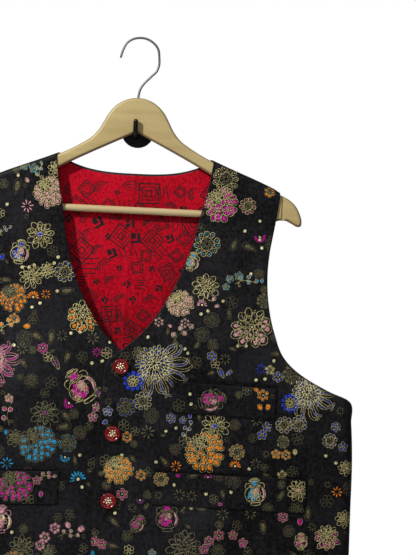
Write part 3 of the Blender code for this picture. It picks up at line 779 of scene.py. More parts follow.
def lining_cloth():
    """Red lining with a faint self pattern in its weave."""
    material, tree, shader = new_material("lining_red", 0.5, specular=0.07)
    floats = noise(tree, 1.0, 3.0, (1300.0, 1300.0, 80.0))
    figure = noise(tree, 330.0, 3.0)
    slow = noise(tree, 11.0, 2.0)
    tone = weighted(tree, (floats, 0.2), (slow, 0.3), (figure, 0.5))
    colour_by(tree, shader, tone, (0.4, (0.24, 0.001, 0.006)), (0.58, (0.56, 0.004, 0.019)))
    bump(tree, shader, floats, 0.0001, 0.5)
    return material


WOOD_GRAIN = (9.0, 60.0, 120.0)  # long along X, as the grain runs
WOOD_PORES = (14.0, 160.0, 420.0)
# Colours of the painted shade on the hanger's rounded edges: on those that face down, and on those that
# face up
PAINTED_SHADE_BELOW = (0.19, 0.122, 0.058)
PAINTED_SHADE_ABOVE = (0.34, 0.24, 0.098)


def painted_edge_shade(tree, colour):
    """Painted shade: the rounded edges a darker brown, most of all those that face down, where less light
    falls.
    """
    height, normal = upward(tree, "Normal")
    edge = ramp(tree, height, (0.3, PAINTED_SHADE_BELOW), (0.55, PAINTED_SHADE_ABOVE))
    flatness = weighted(tree, (combine(tree, "ABSOLUTE", normal["Y"]), 1.0), (normal["Z"], 0.3))
    share = ramp(tree, flatness, (0.84, (1.0, 1.0, 1.0)), (0.98, (0.0, 0.0, 0.0)))
    return mixed(tree, share, colour, edge)


def wood(name, dark, light, roughness, edge_shaded=False):
    """Lacquered pale wood: long fine grain, with a few darker pores, and painted shade on its rounded
    edges when edge_shaded.
    """
    material, tree, shader = new_material(name, roughness)
    grain = noise(tree, 1.0, 6.0, WOOD_GRAIN)
    pores = noise(tree, 4.0, 2.0, WOOD_PORES)
    tone = weighted(tree, (grain, 0.75), (pores, 0.25))
    colour = ramp(tree, tone, (0.32, dark), (0.62, light))
    # painted shade on the rounded edges
    if edge_shaded:
        colour = painted_edge_shade(tree, colour)
    tree.links.new(colour, shader.inputs["Base Color"])
    gloss_by(tree, shader, grain, roughness - 0.06, roughness + 0.08)
    bump(tree, shader, pores, 0.00006, 0.5)
    clear_coat(shader, 0.12, 0.3)
    return material


def drawn_wire():
    made = new_material("drawn_wire", 0.5, metallic=1.0)
    stops = ((0.3, (0.19, 0.195, 0.182)), (0.7, (0.25, 0.257, 0.24)))
    return speckled(made, (3200.0, 2.0), stops, (0.48, 0.56))


def black_moulding():
    made = new_material("black_moulding", 0.3, specular=0.35)
    stops = ((0.3, (0.0012, 0.0012, 0.0012)), (0.7, (0.003, 0.003, 0.0034)))
    return speckled(made, (900.0, 2.0), stops, (0.24, 0.36), (0.00004, 0.4))


def woven_thread():
    """Silk and gilt thread, coloured by the tint of each float. Alpha holds how metallic it is."""
    material, tree, shader = new_material("woven_thread", 0.42, specular=0.2)
    tint = tree.nodes.new("ShaderNodeAttribute")
    tint.attribute_name = "tint"
    strands = noise(tree, 1.0, 3.0, (950.0, 950.0, 520.0))
    shade = ramp(tree, strands, (0.38, (0.22, 0.22, 0.22)), (0.55, (1.15, 1.15, 1.15)))
    colour = mixed(tree, 1.0, tint.outputs["Color"], shade, "MULTIPLY")
    tree.links.new(colour, shader.inputs["Base Color"])
    tree.links.new(tint.outputs["Alpha"], shader.inputs["Metallic"])
    gloss_by(tree, shader, strands, 0.32, 0.52)
    bump(tree, shader, strands, 0.00012, 0.6)
    return material


def printed_ink():
    made = new_material("printed_ink", 0.6, specular=0.25)
    stops = ((0.35, (0.005, 0.0015, 0.003)), (0.7, (0.036, 0.003, 0.007)))
    return speckled(made, (700.0, 3.0), stops, (0.5, 0.7))


# Black thread for stitches and buttonholes, and also the colour of the black strips of painted shadow
def black_thread_and_painted_shadow():
    made = new_material("black_thread_and_painted_shadow", 0.5, specular=0.14)
    stops = ((0.3, (0.0012, 0.0012, 0.0014)), (0.7, (0.004, 0.004, 0.0046)))
    return speckled(made, (2200.0, 2.0), stops, relief=(0.00008, 0.5))


def button_enamel():
    made = new_material("button_enamel", 0.2, specular=0.3)
    stops = ((0.3, (0.095, 0.001, 0.003)), (0.7, (0.26, 0.003, 0.006)))
    clear_coat(made[2], 0.35, 0.06)
    return speckled(made, (260.0, 3.0), stops, (0.14, 0.28))


def gilt():
    """Worn gilding, darker in patches."""
    made = new_material("button_gilt", 0.3, metallic=1.0)
    stops = ((0.34, (0.40, 0.26, 0.11)), (0.55, (0.98, 0.90, 0.66)))
    return speckled(made, (800.0, 4.0), stops, (0.42, 0.22), (0.00008, 0.5))


BROCADE = satin("brocade_ground", (0.0017, 0.0016, 0.0020), (0.0160, 0.0149, 0.0174), 0.4, 0.12)
BACK_SATIN = satin("back_satin", (0.008, 0.008, 0.010), (0.034, 0.034, 0.040), 0.42, 0.3)
LINING = lining_cloth()
# the hanger's rounded edges carry painted shade
HANGER_WOOD = wood("hanger_wood", (0.42, 0.315, 0.125), (0.52, 0.40, 0.172), 0.46, edge_shaded=True)
BAR_WOOD = wood("bar_wood", (0.46, 0.345, 0.17), (0.57, 0.44, 0.22), 0.5)
WIRE = drawn_wire()
MOULDING = black_moulding()
THREADS = woven_thread()
BLACK_THREAD_AND_PAINTED_SHADOW = black_thread_and_painted_shadow()
INK = printed_ink()
ENAMEL = button_enamel()
GILT = gilt()


# Cloth pieces

def cloth_piece(name, surface, places, outward_y, wall, *materials):
    """(piece, sides) of a cloth wall over a surface. places are its columns and rows, wall is how
    far the wall's outer side lies out from the surface and how thick it is."""
    across, down = np.meshgrid(*places)
    normals = facing(surface, across, down, outward_y)
    points, faces, sides = cloth_wall(surface(across, down), normals, *wall)
    return make_mesh(name, points, faces, materials), sides


def front_piece(name, side):
    """A front: brocade outside, lining inside up to the facing and the turned-up hem."""
    columns = spread(0.0, (FRONT_FLAT, 106), (1.0, 10))
    rows = spread(-1.0, (0.0, 10), (0.5, 112), (1.0, 108))

    def surface(across, down):
        return front_surface(across, down, side)

    piece, sides = cloth_piece(name, surface, (columns, rows), -1, (0.0, FRONT_CLOTH), BROCADE, LINING)
    wide, high = len(columns) - 1, len(rows) - 1
    for polygon, part in zip(piece.data.polygons, sides):
        row, column = divmod(polygon.index % (wide * high), wide)
        if part == INSIDE and column >= FACING_COLUMNS and row < high - HEM_ROWS:
            polygon.material_index = 1
    return piece


def back_piece():
    half = np.concatenate([BACK_SEAM_STEPS, spread(0.02, (BACK_FLAT, 70), (1.0, 8))])
    columns = np.concatenate([-half[:0:-1], half])
    rows = spread(-1.0, (0.0, 8), (0.4, 62), (1.0, 84))
    return cloth_piece("back_cloth", back_surface, (columns, rows), 1, (0.0, BACK_CLOTH), BACK_SATIN)[0]


def lining_piece():
    half = spread(0.0, (LINING_SIDE, 62))
    columns = np.concatenate([-half[:0:-1], half])
    rows = spread(LINING_TOP, (0.4, 56), (LINING_HEM, 66))
    wall = (-(BACK_CLOTH + SEAM_GAP), LINING_CLOTH)
    return cloth_piece("lining_cloth", back_surface, (columns, rows), 1, wall, LINING)[0]


def welt_surface(welt, s, t):
    """Face of a welt before its own cloth. s runs along it, t from its foot to its top."""
    side = 1 if welt["inner_u"] > 0 else -1
    u = along_welt(welt, s, "u")
    z = along_welt(welt, s, "top") - welt["depth"] * MM * (1 - t)
    gape = smooth_step(0.0, 0.3, s) * (1 - smooth_step(0.7, 1.0, s)) * smooth_step(0.4, 1.0, t)
    press = smooth_step(0.0, 0.06, t) * smooth_step(0.0, 0.02, s) * (1 - smooth_step(0.98, 1.0, s))
    y = front_depth(u, z, side) - pocket_mouths(u, z) - 0.9 * MM * gape - 0.35 * MM * press
    return np.stack([centre_line(z) + u, y, z], axis=-1)


def welt_piece(welt):
    """A welt: a folded strip sewn down along its foot and ends, a little open along its top."""

    def surface(s, t):
        return welt_surface(welt, s, t)

    places = np.linspace(0.0, 1.0, 90), np.linspace(0.0, 1.0, 22)
    wall = (SEAM_GAP + WELT_CLOTH, WELT_CLOTH)
    return cloth_piece(welt["name"] + "_cloth", surface, places, -1, wall, BROCADE)[0]


# Coloured weft floats: the woven flowers, drawn flat in millimetres and laid on the cloth

# Red, green and blue of each thread, and how metallic it is
TINTS = {
    "gold": (0.585, 0.51, 0.222, 0.3),
    "cream": (0.84, 0.77, 0.42, 0.1),
    "old gold": (0.20, 0.18, 0.09, 0.3),
    "blue": (0.012, 0.045, 0.47, 0.0),
    "teal": (0.022, 0.27, 0.47, 0.0),
    "orange": (0.84, 0.23, 0.010, 0.0),
    "magenta": (0.50, 0.010, 0.26, 0.0),
    "rose": (0.66, 0.32, 0.35, 0.0),
    "violet": (0.16, 0.035, 0.16, 0.0),
    "moss": (0.14, 0.122, 0.058, 0.2),
    "dusk": (0.055, 0.045, 0.085, 0.0),
    "shade": (0.0025, 0.0025, 0.003, 0.0),
    "ink": (0.030, 0.0025, 0.006, 0.0),
}
THREAD = 0.66  # width of an outline on a large flower, millimetres
SUNK = -0.04  # how far the edges of a float lie in the cloth, millimetres
PILE = 0.24  # how far the middle of an outline stands out
LEAN_TO = 35.0  # degrees to the right that the large flowers open towards


class Weave:
    """Floats of coloured thread for one panel, kept flat until they are laid on its cloth."""

    def __init__(self, seed=5, sunk=SUNK):
        self.points, self.lifts, self.faces, self.tints = [], [], [], []
        self.count, self.sunk = 0, sunk
        self.centre, self.turn, self.fine = np.zeros(2), 0.0, 1.0
        self.chance = random.Random(seed)

    def at(self, centre, turn, fine=1.0):
        """Where the next motif lies, how it is turned, and how fine its thread is."""
        self.centre, self.turn, self.fine = np.asarray(centre, float), math.radians(turn), fine

    def vary(self, amount):
        return 1 + amount * self.chance.uniform(-1, 1)

    def add(self, points, lifts, faces, tint):
        self.points.append(self.centre + rotated(points, self.turn))
        self.lifts.append(lifts)
        self.faces.extend([[corner + self.count for corner in face] for face in faces])
        self.tints.extend([TINTS[tint]] * len(points))
        self.count += len(points)

    def patch(self, outline, tint, lift=0.14):
        """A filled shape, a little domed."""
        outline = np.asarray(outline, float)
        middle = outline.mean(axis=0)
        reach = np.linalg.norm(outline - middle, axis=1).max()
        rings = 1 + int(reach / 3.0)
        count = len(outline)
        points, lifts, faces = [middle[None]], [[lift]], []
        for ring in range(1, rings + 1):
            share = ring / rings
            points.append(middle + (outline - middle) * share)
            lifts.append([lift + (self.sunk - lift) * share**2] * count)
            first = 1 + (ring - 1) * count
            for i in range(count):
                j = (i + 1) % count
                if ring == 1:
                    faces.append([0, first + i, first + j])
                else:
                    faces.append([first - count + i, first + i, first + j, first - count + j])
        self.add(np.concatenate(points), np.concatenate(lifts), faces, tint)

    def thread(self, path, tint, width=THREAD, closed=True, lift=PILE):
        """A line of thread along a path, highest along its middle."""
        path = np.asarray(path, float)
        if closed:
            ahead = np.roll(path, -1, axis=0) - np.roll(path, 1, axis=0)
        else:
            ahead = np.gradient(path, axis=0)
        ahead /= np.maximum(np.linalg.norm(ahead, axis=1, keepdims=True), 1e-9)
        across = np.stack([-ahead[:, 1], ahead[:, 0]], axis=1) * width * self.fine / 2
        count = len(path)
        faces = []
        for i in range(count if closed else count - 1):
            j = (i + 1) % count
            for low in (0, count):
                faces.append([low + i, low + j, low + count + j, low + count + i])
        sunk = np.full(count, self.sunk)
        lifts = np.concatenate([sunk, np.full(count, lift), sunk])
        self.add(np.concatenate([path + across, path, path - across]), lifts, faces, tint)


def rotated(points, angle):
    """Points in a plane, turned anticlockwise about the origin."""
    cos, sin = math.cos(angle), math.sin(angle)
    return np.asarray(points, float) @ np.array([[cos, sin], [-sin, cos]])


def petal(length, width, steps=11, frill=0.0):
    """Outline of a petal that stands up from the origin, fuller near its tip."""
    t = np.linspace(0, 2 * math.pi, steps, endpoint=False)
    up = (1 - np.cos(t)) / 2
    wave_in = 1 + frill * np.cos(4 * t) * up
    return np.stack([width / 2 * np.sin(t) * (0.62 + 0.5 * up), length * up * wave_in], axis=1)


def circle(radius, steps=12, centre=(0.0, 0.0)):
    t = np.linspace(0, 2 * math.pi, steps, endpoint=False)
    return np.stack([np.cos(t), np.sin(t)], axis=1) * radius + centre


def bow(start, end, bulge, steps=9):
    """A curved line between two points, bulging to its left."""
    start, end = np.asarray(start, float), np.asarray(end, float)
    t = np.linspace(0.0, 1.0, steps)[:, None]
    side = np.array([-(end - start)[1], (end - start)[0]])
    return start + (end - start) * t + side * bulge * 4 * t * (1 - t)


def petal_ring(weave, count, radius, length, width, tint, line="gold", start=0.0, arc=360.0,
               fill=0.62, lean=0.0, frill=0.0, jitter=0.12, coloured=1.0, towards=0.0):
    """Petals round the centre, each outlined and filled towards its tip. lean makes the far ones
    small and the near ones large. coloured is the share that is filled, from the near side up.
    The near side is the lower one, turned by an angle (degrees) towards the right."""
    for k in range(count):
        turn = math.radians(start + arc * (k + jitter * weave.chance.uniform(-1, 1)) / count)
        near = (1 - math.cos(turn + weave.turn - math.radians(towards))) / 2
        larger = 1 + lean * (2 * near - 1)
        reach = length * weave.vary(jitter) * larger
        out = radius * larger
        outline = petal(reach, width * weave.vary(jitter) * larger, 11 if frill == 0 else 15, frill)
        if tint and near >= 1 - coloured:
            tip = outline * (fill * 0.92) + (0.0, reach * (1 - fill) * 0.72)
            weave.patch(rotated(tip + (0.0, out), turn), tint)
        if line:
            weave.thread(rotated(outline + (0.0, out), turn), line)


def mum(weave, r, tint, line="gold"):
    """A full flower of many petals in close rounds about an eye high on its left. They are small
    there, and grow towards the lower right, where their tips are coloured."""
    middle = weave.centre
    weave.centre = middle + (-0.17 * r, 0.28 * r)
    for share, length, coloured in (
            (0.64, 0.34, 0.92), (0.46, 0.32, 0.75), (0.3, 0.27, 0.6), (0.15, 0.22, 0.4)):
        many = max(6, int(2 * math.pi * (share + 0.14) * r / max(3.6, 0.27 * r)))
        wide = 6.6 * (share + 0.16) * r / many
        petal_ring(weave, many, share * r, length * r, wide, tint, line, 37 * share, fill=0.8, lean=0.36,
                   coloured=coloured, jitter=0.2, towards=LEAN_TO)
    petal_ring(weave, 6, 0.05 * r, 0.13 * r, 0.1 * r, None, line, 20.0)
    weave.centre = middle


def round_flower(weave, r, tint, line="gold"):
    """An open flower: a ring of short petals round a middle with a few stamens."""
    many = 7 + int(r / 3.6)
    petal_ring(weave, many, 0.56 * r, 0.44 * r, 4.6 * r / many, tint, line, fill=0.5)
    weave.thread(circle(0.5 * r, 14), line, THREAD * 0.8)
    petal_ring(weave, 6, 0.14 * r, 0.3 * r, 0.2 * r, None, "old gold" if line == "gold" else line, 11.0)


def hooked(angle, radius, length, curl, steps=12):
    """A line that runs out from the centre and curls at its tip."""
    t = np.linspace(0.0, 1.0, steps)
    heading = angle + curl * np.maximum(t - 0.45, 0.0) ** 1.4
    step = np.stack([-np.sin(heading), np.cos(heading)], axis=1) * length / steps
    return rotated([(0.0, radius)], angle) + np.cumsum(step, axis=0)


def spider(weave, r, tint, line="gold"):
    """A flower with a dense head high on its left. Long petals hang from it to the lower right and
    hook at their tips."""
    middle = weave.centre
    weave.centre = middle + (-0.2 * r, 0.3 * r)
    for k in range(16):
        angle = math.radians(140.0 + 12.0 * k + 4.0 * weave.chance.uniform(-1, 1))
        near = (1 - math.cos(angle - math.radians(LEAN_TO))) / 2
        curl = (3.4 if k % 3 else -3.0) * weave.vary(0.3)
        path = hooked(angle, 0.36 * r, (0.42 + 0.5 * near) * r * weave.vary(0.15), curl)
        ahead = np.gradient(path, axis=0)
        ahead /= np.linalg.norm(ahead, axis=1, keepdims=True)
        wide = 0.5 + 0.95 * np.sin(np.linspace(0.15, 2.7, len(path)))
        side = np.stack([-ahead[:, 1], ahead[:, 0]], axis=1) * wide[:, None]
        if k % 2:
            weave.thread(path[3:-1], tint, 1.1, False, 0.16)
        weave.thread(np.concatenate([path + side, (path - side)[::-1]]), line, THREAD * 0.8)
    for many, share, length, wide, colour in (
            (22, 0.42, 0.22, 0.13, line), (18, 0.3, 0.2, 0.12, "cream"), (13, 0.18, 0.18, 0.11, line)):
        petal_ring(weave, many, share * r, length * r, wide * r, tint, colour, 50 * share, fill=0.55,
                   lean=0.12, jitter=0.22, towards=LEAN_TO)
    petal_ring(weave, 8, 0.06 * r, 0.15 * r, 0.09 * r, None, "cream", 3.0)
    weave.centre = middle


def peony(weave, r, tint, line="gold"):
    """A heavy flower of broad frilled petals, with veins, round a small eye."""
    for many, out, length, wide, start, fill, lean, frill, coloured in (
            (10, 0.48, 0.5, 0.46, 0.0, 0.6, 0.12, 0.07, 0.8),
            (9, 0.30, 0.46, 0.40, 26.0, 0.55, 0.12, 0.07, 0.6),
            (7, 0.14, 0.36, 0.32, 8.0, 0.5, 0.0, 0.06, 0.5)):
        petal_ring(weave, many, out * r, length * r, wide * r, tint, line, start, fill=fill, lean=lean,
                   frill=frill, jitter=0.2, coloured=coloured)
    for k in range(16):
        angle = math.radians(22.5 * k + 7 * weave.chance.uniform(-1, 1))
        vein = bow((0.0, 0.56 * r), (0.0, 0.86 * r), weave.chance.uniform(-0.2, 0.2), 4)
        weave.thread(rotated(vein, angle), line, THREAD * 0.7, closed=False)
    weave.thread(circle(0.13 * r, 9), line)
    weave.patch(circle(0.08 * r, 7), "cream")


def open_flower(weave, r, tint, line="gold"):
    """A frilled flower in outline only, with a coloured eye. A small one is a ring of round petals."""
    if r < 8.5:
        many = 5 + int(r > 5.5)
        for k in range(many):
            turn = 2 * math.pi * (k + 0.1 * weave.chance.uniform(-1, 1)) / many
            middle = rotated([(0.0, 0.6 * r)], turn)[0]
            weave.thread(circle(1.9 * r / many * weave.vary(0.1), 9, middle), line)
    else:
        many = 7 + int(r / 6)
        petal_ring(weave, many, 0.46 * r, 0.5 * r, 3.9 * r / many, None, line, lean=0.08, frill=0.08)
        petal_ring(weave, many - 1, 0.27 * r, 0.44 * r, 2.9 * r / many, None, line, 14.0, frill=0.08,
                   jitter=0.2)
        petal_ring(weave, 5, 0.14 * r, 0.28 * r, 0.24 * r, None, line, 5.0)
    if tint:
        weave.patch(circle(0.2 * r, 10) * (1.3, 0.8), tint, 0.2)
    weave.thread(circle(0.14 * r, 8) * (1.3, 0.8), line, THREAD * 0.8)


def blossom(weave, r, tint, line="cream"):
    """A small flower of round petals, open in the middle."""
    many = 5 if r < 6.2 else 6
    for k in range(many):
        turn = 2 * math.pi * (k + 0.08 * weave.chance.uniform(-1, 1)) / many
        middle = rotated([(0.0, 0.62 * r)], turn)[0]
        size = 1.75 * r / many * weave.vary(0.08)
        weave.patch(circle(0.78 * size, 8, middle), tint, 0.18)
        weave.thread(circle(size, 9, middle), line, THREAD * 0.75)
    weave.patch(circle(0.13 * r, 7), "cream")


def bead_ring(weave, r, tint, line="gold"):
    """Short blocks of colour round an open gold middle."""
    for k in range(10):
        block = np.array([(-0.5, -0.5), (-0.6, 0.1), (-0.4, 0.5), (0.4, 0.5), (0.6, 0.1), (0.5, -0.5)])
        outline = block * (0.36 * r, 0.4 * r) * weave.vary(0.1) + (0.0, 0.78 * r)
        weave.patch(rotated(outline, math.radians(36.0 * k)), tint, 0.2)
    petal_ring(weave, 9, 0.2 * r, 0.34 * r, 0.24 * r, None, line)
    weave.thread(circle(0.54 * r, 14), "old gold", THREAD)
    weave.thread(circle(0.16 * r, 8), line, THREAD)


def daisy(weave, r, tint, line=None):
    """Eight thin separate petals."""
    petal_ring(weave, 8, 0.22 * r, 0.76 * r, 0.25 * r, tint, line, fill=1.0, jitter=0.06)


def fan(weave, r, tint, line=None):
    """Half a flower of thin petals over a small eye."""
    petal_ring(weave, 8, 0.26 * r, 0.74 * r, 0.3 * r, tint, line, -95.0, 215.0, fill=1.0, jitter=0.06)
    weave.patch(circle(0.2 * r, 8), "cream", 0.18)


def dot(weave, r, tint, line="gold"):
    """A gold dot in the middle of a dark sunken daisy."""
    daisy(weave, 3.2 * r, "shade")
    weave.patch(circle(r, 9), tint, 0.2)
    weave.thread(circle(0.62 * r, 8), line, THREAD * 0.7, lift=0.3)


def bud(weave, r, tint, line="cream"):
    weave.patch(circle(0.85 * r, 9) * (0.8, 1.0), tint, 0.18)
    weave.thread(petal(1.9 * r, 1.5 * r, 9) - (0.0, 0.95 * r), line, THREAD * 0.6)


def sprig(weave, r, tint, line="gold"):
    """A bent stem with buds and two small leaves."""
    stem = bow((-0.5 * r, -r), (0.35 * r, 0.9 * r), 0.16, 12)
    weave.thread(stem, line, THREAD * 0.9, closed=False)
    for place, lean in ((0.98, -10.0), (0.7, 48.0), (0.55, -60.0), (0.32, 55.0)):
        root = stem[int(place * 11)]
        tip = root + rotated([(0.0, 0.36 * r)], math.radians(lean))[0]
        weave.thread(np.linspace(root, tip, 4), line, THREAD * 0.8, closed=False)
        weave.patch(circle(0.17 * r, 8, tip), tint, 0.18)
        weave.thread(circle(0.2 * r, 8, tip), "cream", THREAD * 0.7)
    for place, lean in ((0.45, 120.0), (0.2, -110.0)):
        outline = rotated(petal(0.5 * r, 0.22 * r, 9), math.radians(lean)) + stem[int(place * 11)]
        weave.thread(outline, line, THREAD * 0.8)


def leaf(weave, r, tint, line="gold"):
    """A pointed leaf with its rib."""
    outline = petal(2.0 * r, 0.95 * r, 12) - (0.0, r)
    weave.patch(outline * 0.74, tint)
    weave.thread(outline, line, THREAD * 0.9)
    weave.thread(bow((0.0, -r), (0.0, 0.8 * r), 0.05, 6), line, THREAD * 0.7, closed=False)


def vase(weave, r, tint, line="gold"):
    """A round jar with a neck, a lid, a foot, small handles, and curls of gold over its colour."""
    t = np.linspace(0, 2 * math.pi, 22, endpoint=False)
    body = np.stack([np.sign(np.cos(t)) * np.abs(np.cos(t)) ** 0.8 * 0.64, np.sin(t) * 0.52], axis=1) * r
    body -= (0.0, 0.2 * r)
    band = "cream" if tint == "rose" else "rose"
    for k, (x, z, wide, high) in enumerate((
            (-0.28, -0.16, 0.2, 0.27), (-0.12, -0.46, 0.24, 0.15), (0.1, 0.02, 0.17, 0.2),
            (-0.2, 0.12, 0.12, 0.1), (0.12, -0.3, 0.15, 0.14), (-0.06, -0.14, 0.1, 0.15),
            (-0.42, -0.36, 0.09, 0.12))):
        blot = circle(r, 11) * (wide * weave.vary(0.15), high * weave.vary(0.15)) + (x * r, z * r)
        weave.patch(blot, band if k % 3 == 2 else tint, 0.2)
    outer = bow((0.4 * r, -0.6 * r), (0.4 * r, 0.24 * r), -0.24)
    inner = bow((0.4 * r, 0.24 * r), (0.4 * r, -0.6 * r), 0.12)
    weave.patch(np.concatenate([outer, inner]), band, 0.22)
    weave.thread(body, line, THREAD * 1.1)
    for _ in range(13):
        x, z = weave.chance.uniform(-0.46, 0.3), weave.chance.uniform(-0.58, 0.12)
        size = weave.chance.uniform(0.07, 0.13)
        weave.thread(circle(size * r, 8, (x * r, z * r)), line, THREAD * 0.9, lift=0.34)
        end = (x + weave.chance.uniform(-0.3, 0.3), z + weave.chance.uniform(-0.2, 0.2))
        curl = bow((x * r, (z + size) * r), (end[0] * r, end[1] * r), 0.4, 6)
        weave.thread(curl, line, THREAD * 0.9, False, 0.34)
    left = [(-0.24, 0.32), (-0.2, 0.48), (-0.28, 0.64)]
    neck = np.array(left + [(-x, z) for x, z in left[::-1]]) * r
    weave.patch(neck * (0.8, 1.0), tint, 0.2)
    weave.thread(neck, line, THREAD)
    for height, wide in ((0.32, 0.36), (0.66, 0.34), (0.76, 0.2)):
        weave.thread(circle(wide * r, 12) * (1.0, 0.24) + (0.0, height * r), line, THREAD)
    weave.thread(circle(0.32 * r, 12) * (1.0, 0.3) - (0.0, 0.8 * r), line, THREAD)
    for side in (-1.0, 1.0):
        handle = bow((side * 0.3 * r, 0.5 * r), (side * 0.56 * r, 0.16 * r), 0.4 * side, 8)
        weave.thread(handle, line, THREAD * 1.1, closed=False)
    petal_ring(weave, 7, 0.04 * r, 0.16 * r, 0.1 * r, tint, line, start=10.0)


MOTIFS = {
    "mum": mum, "round": round_flower, "spider": spider, "peony": peony, "open": open_flower,
    "blossom": blossom, "bead": bead_ring, "daisy": daisy, "fan": fan, "dot": dot, "bud": bud,
    "sprig": sprig, "leaf": leaf, "vase": vase,
}


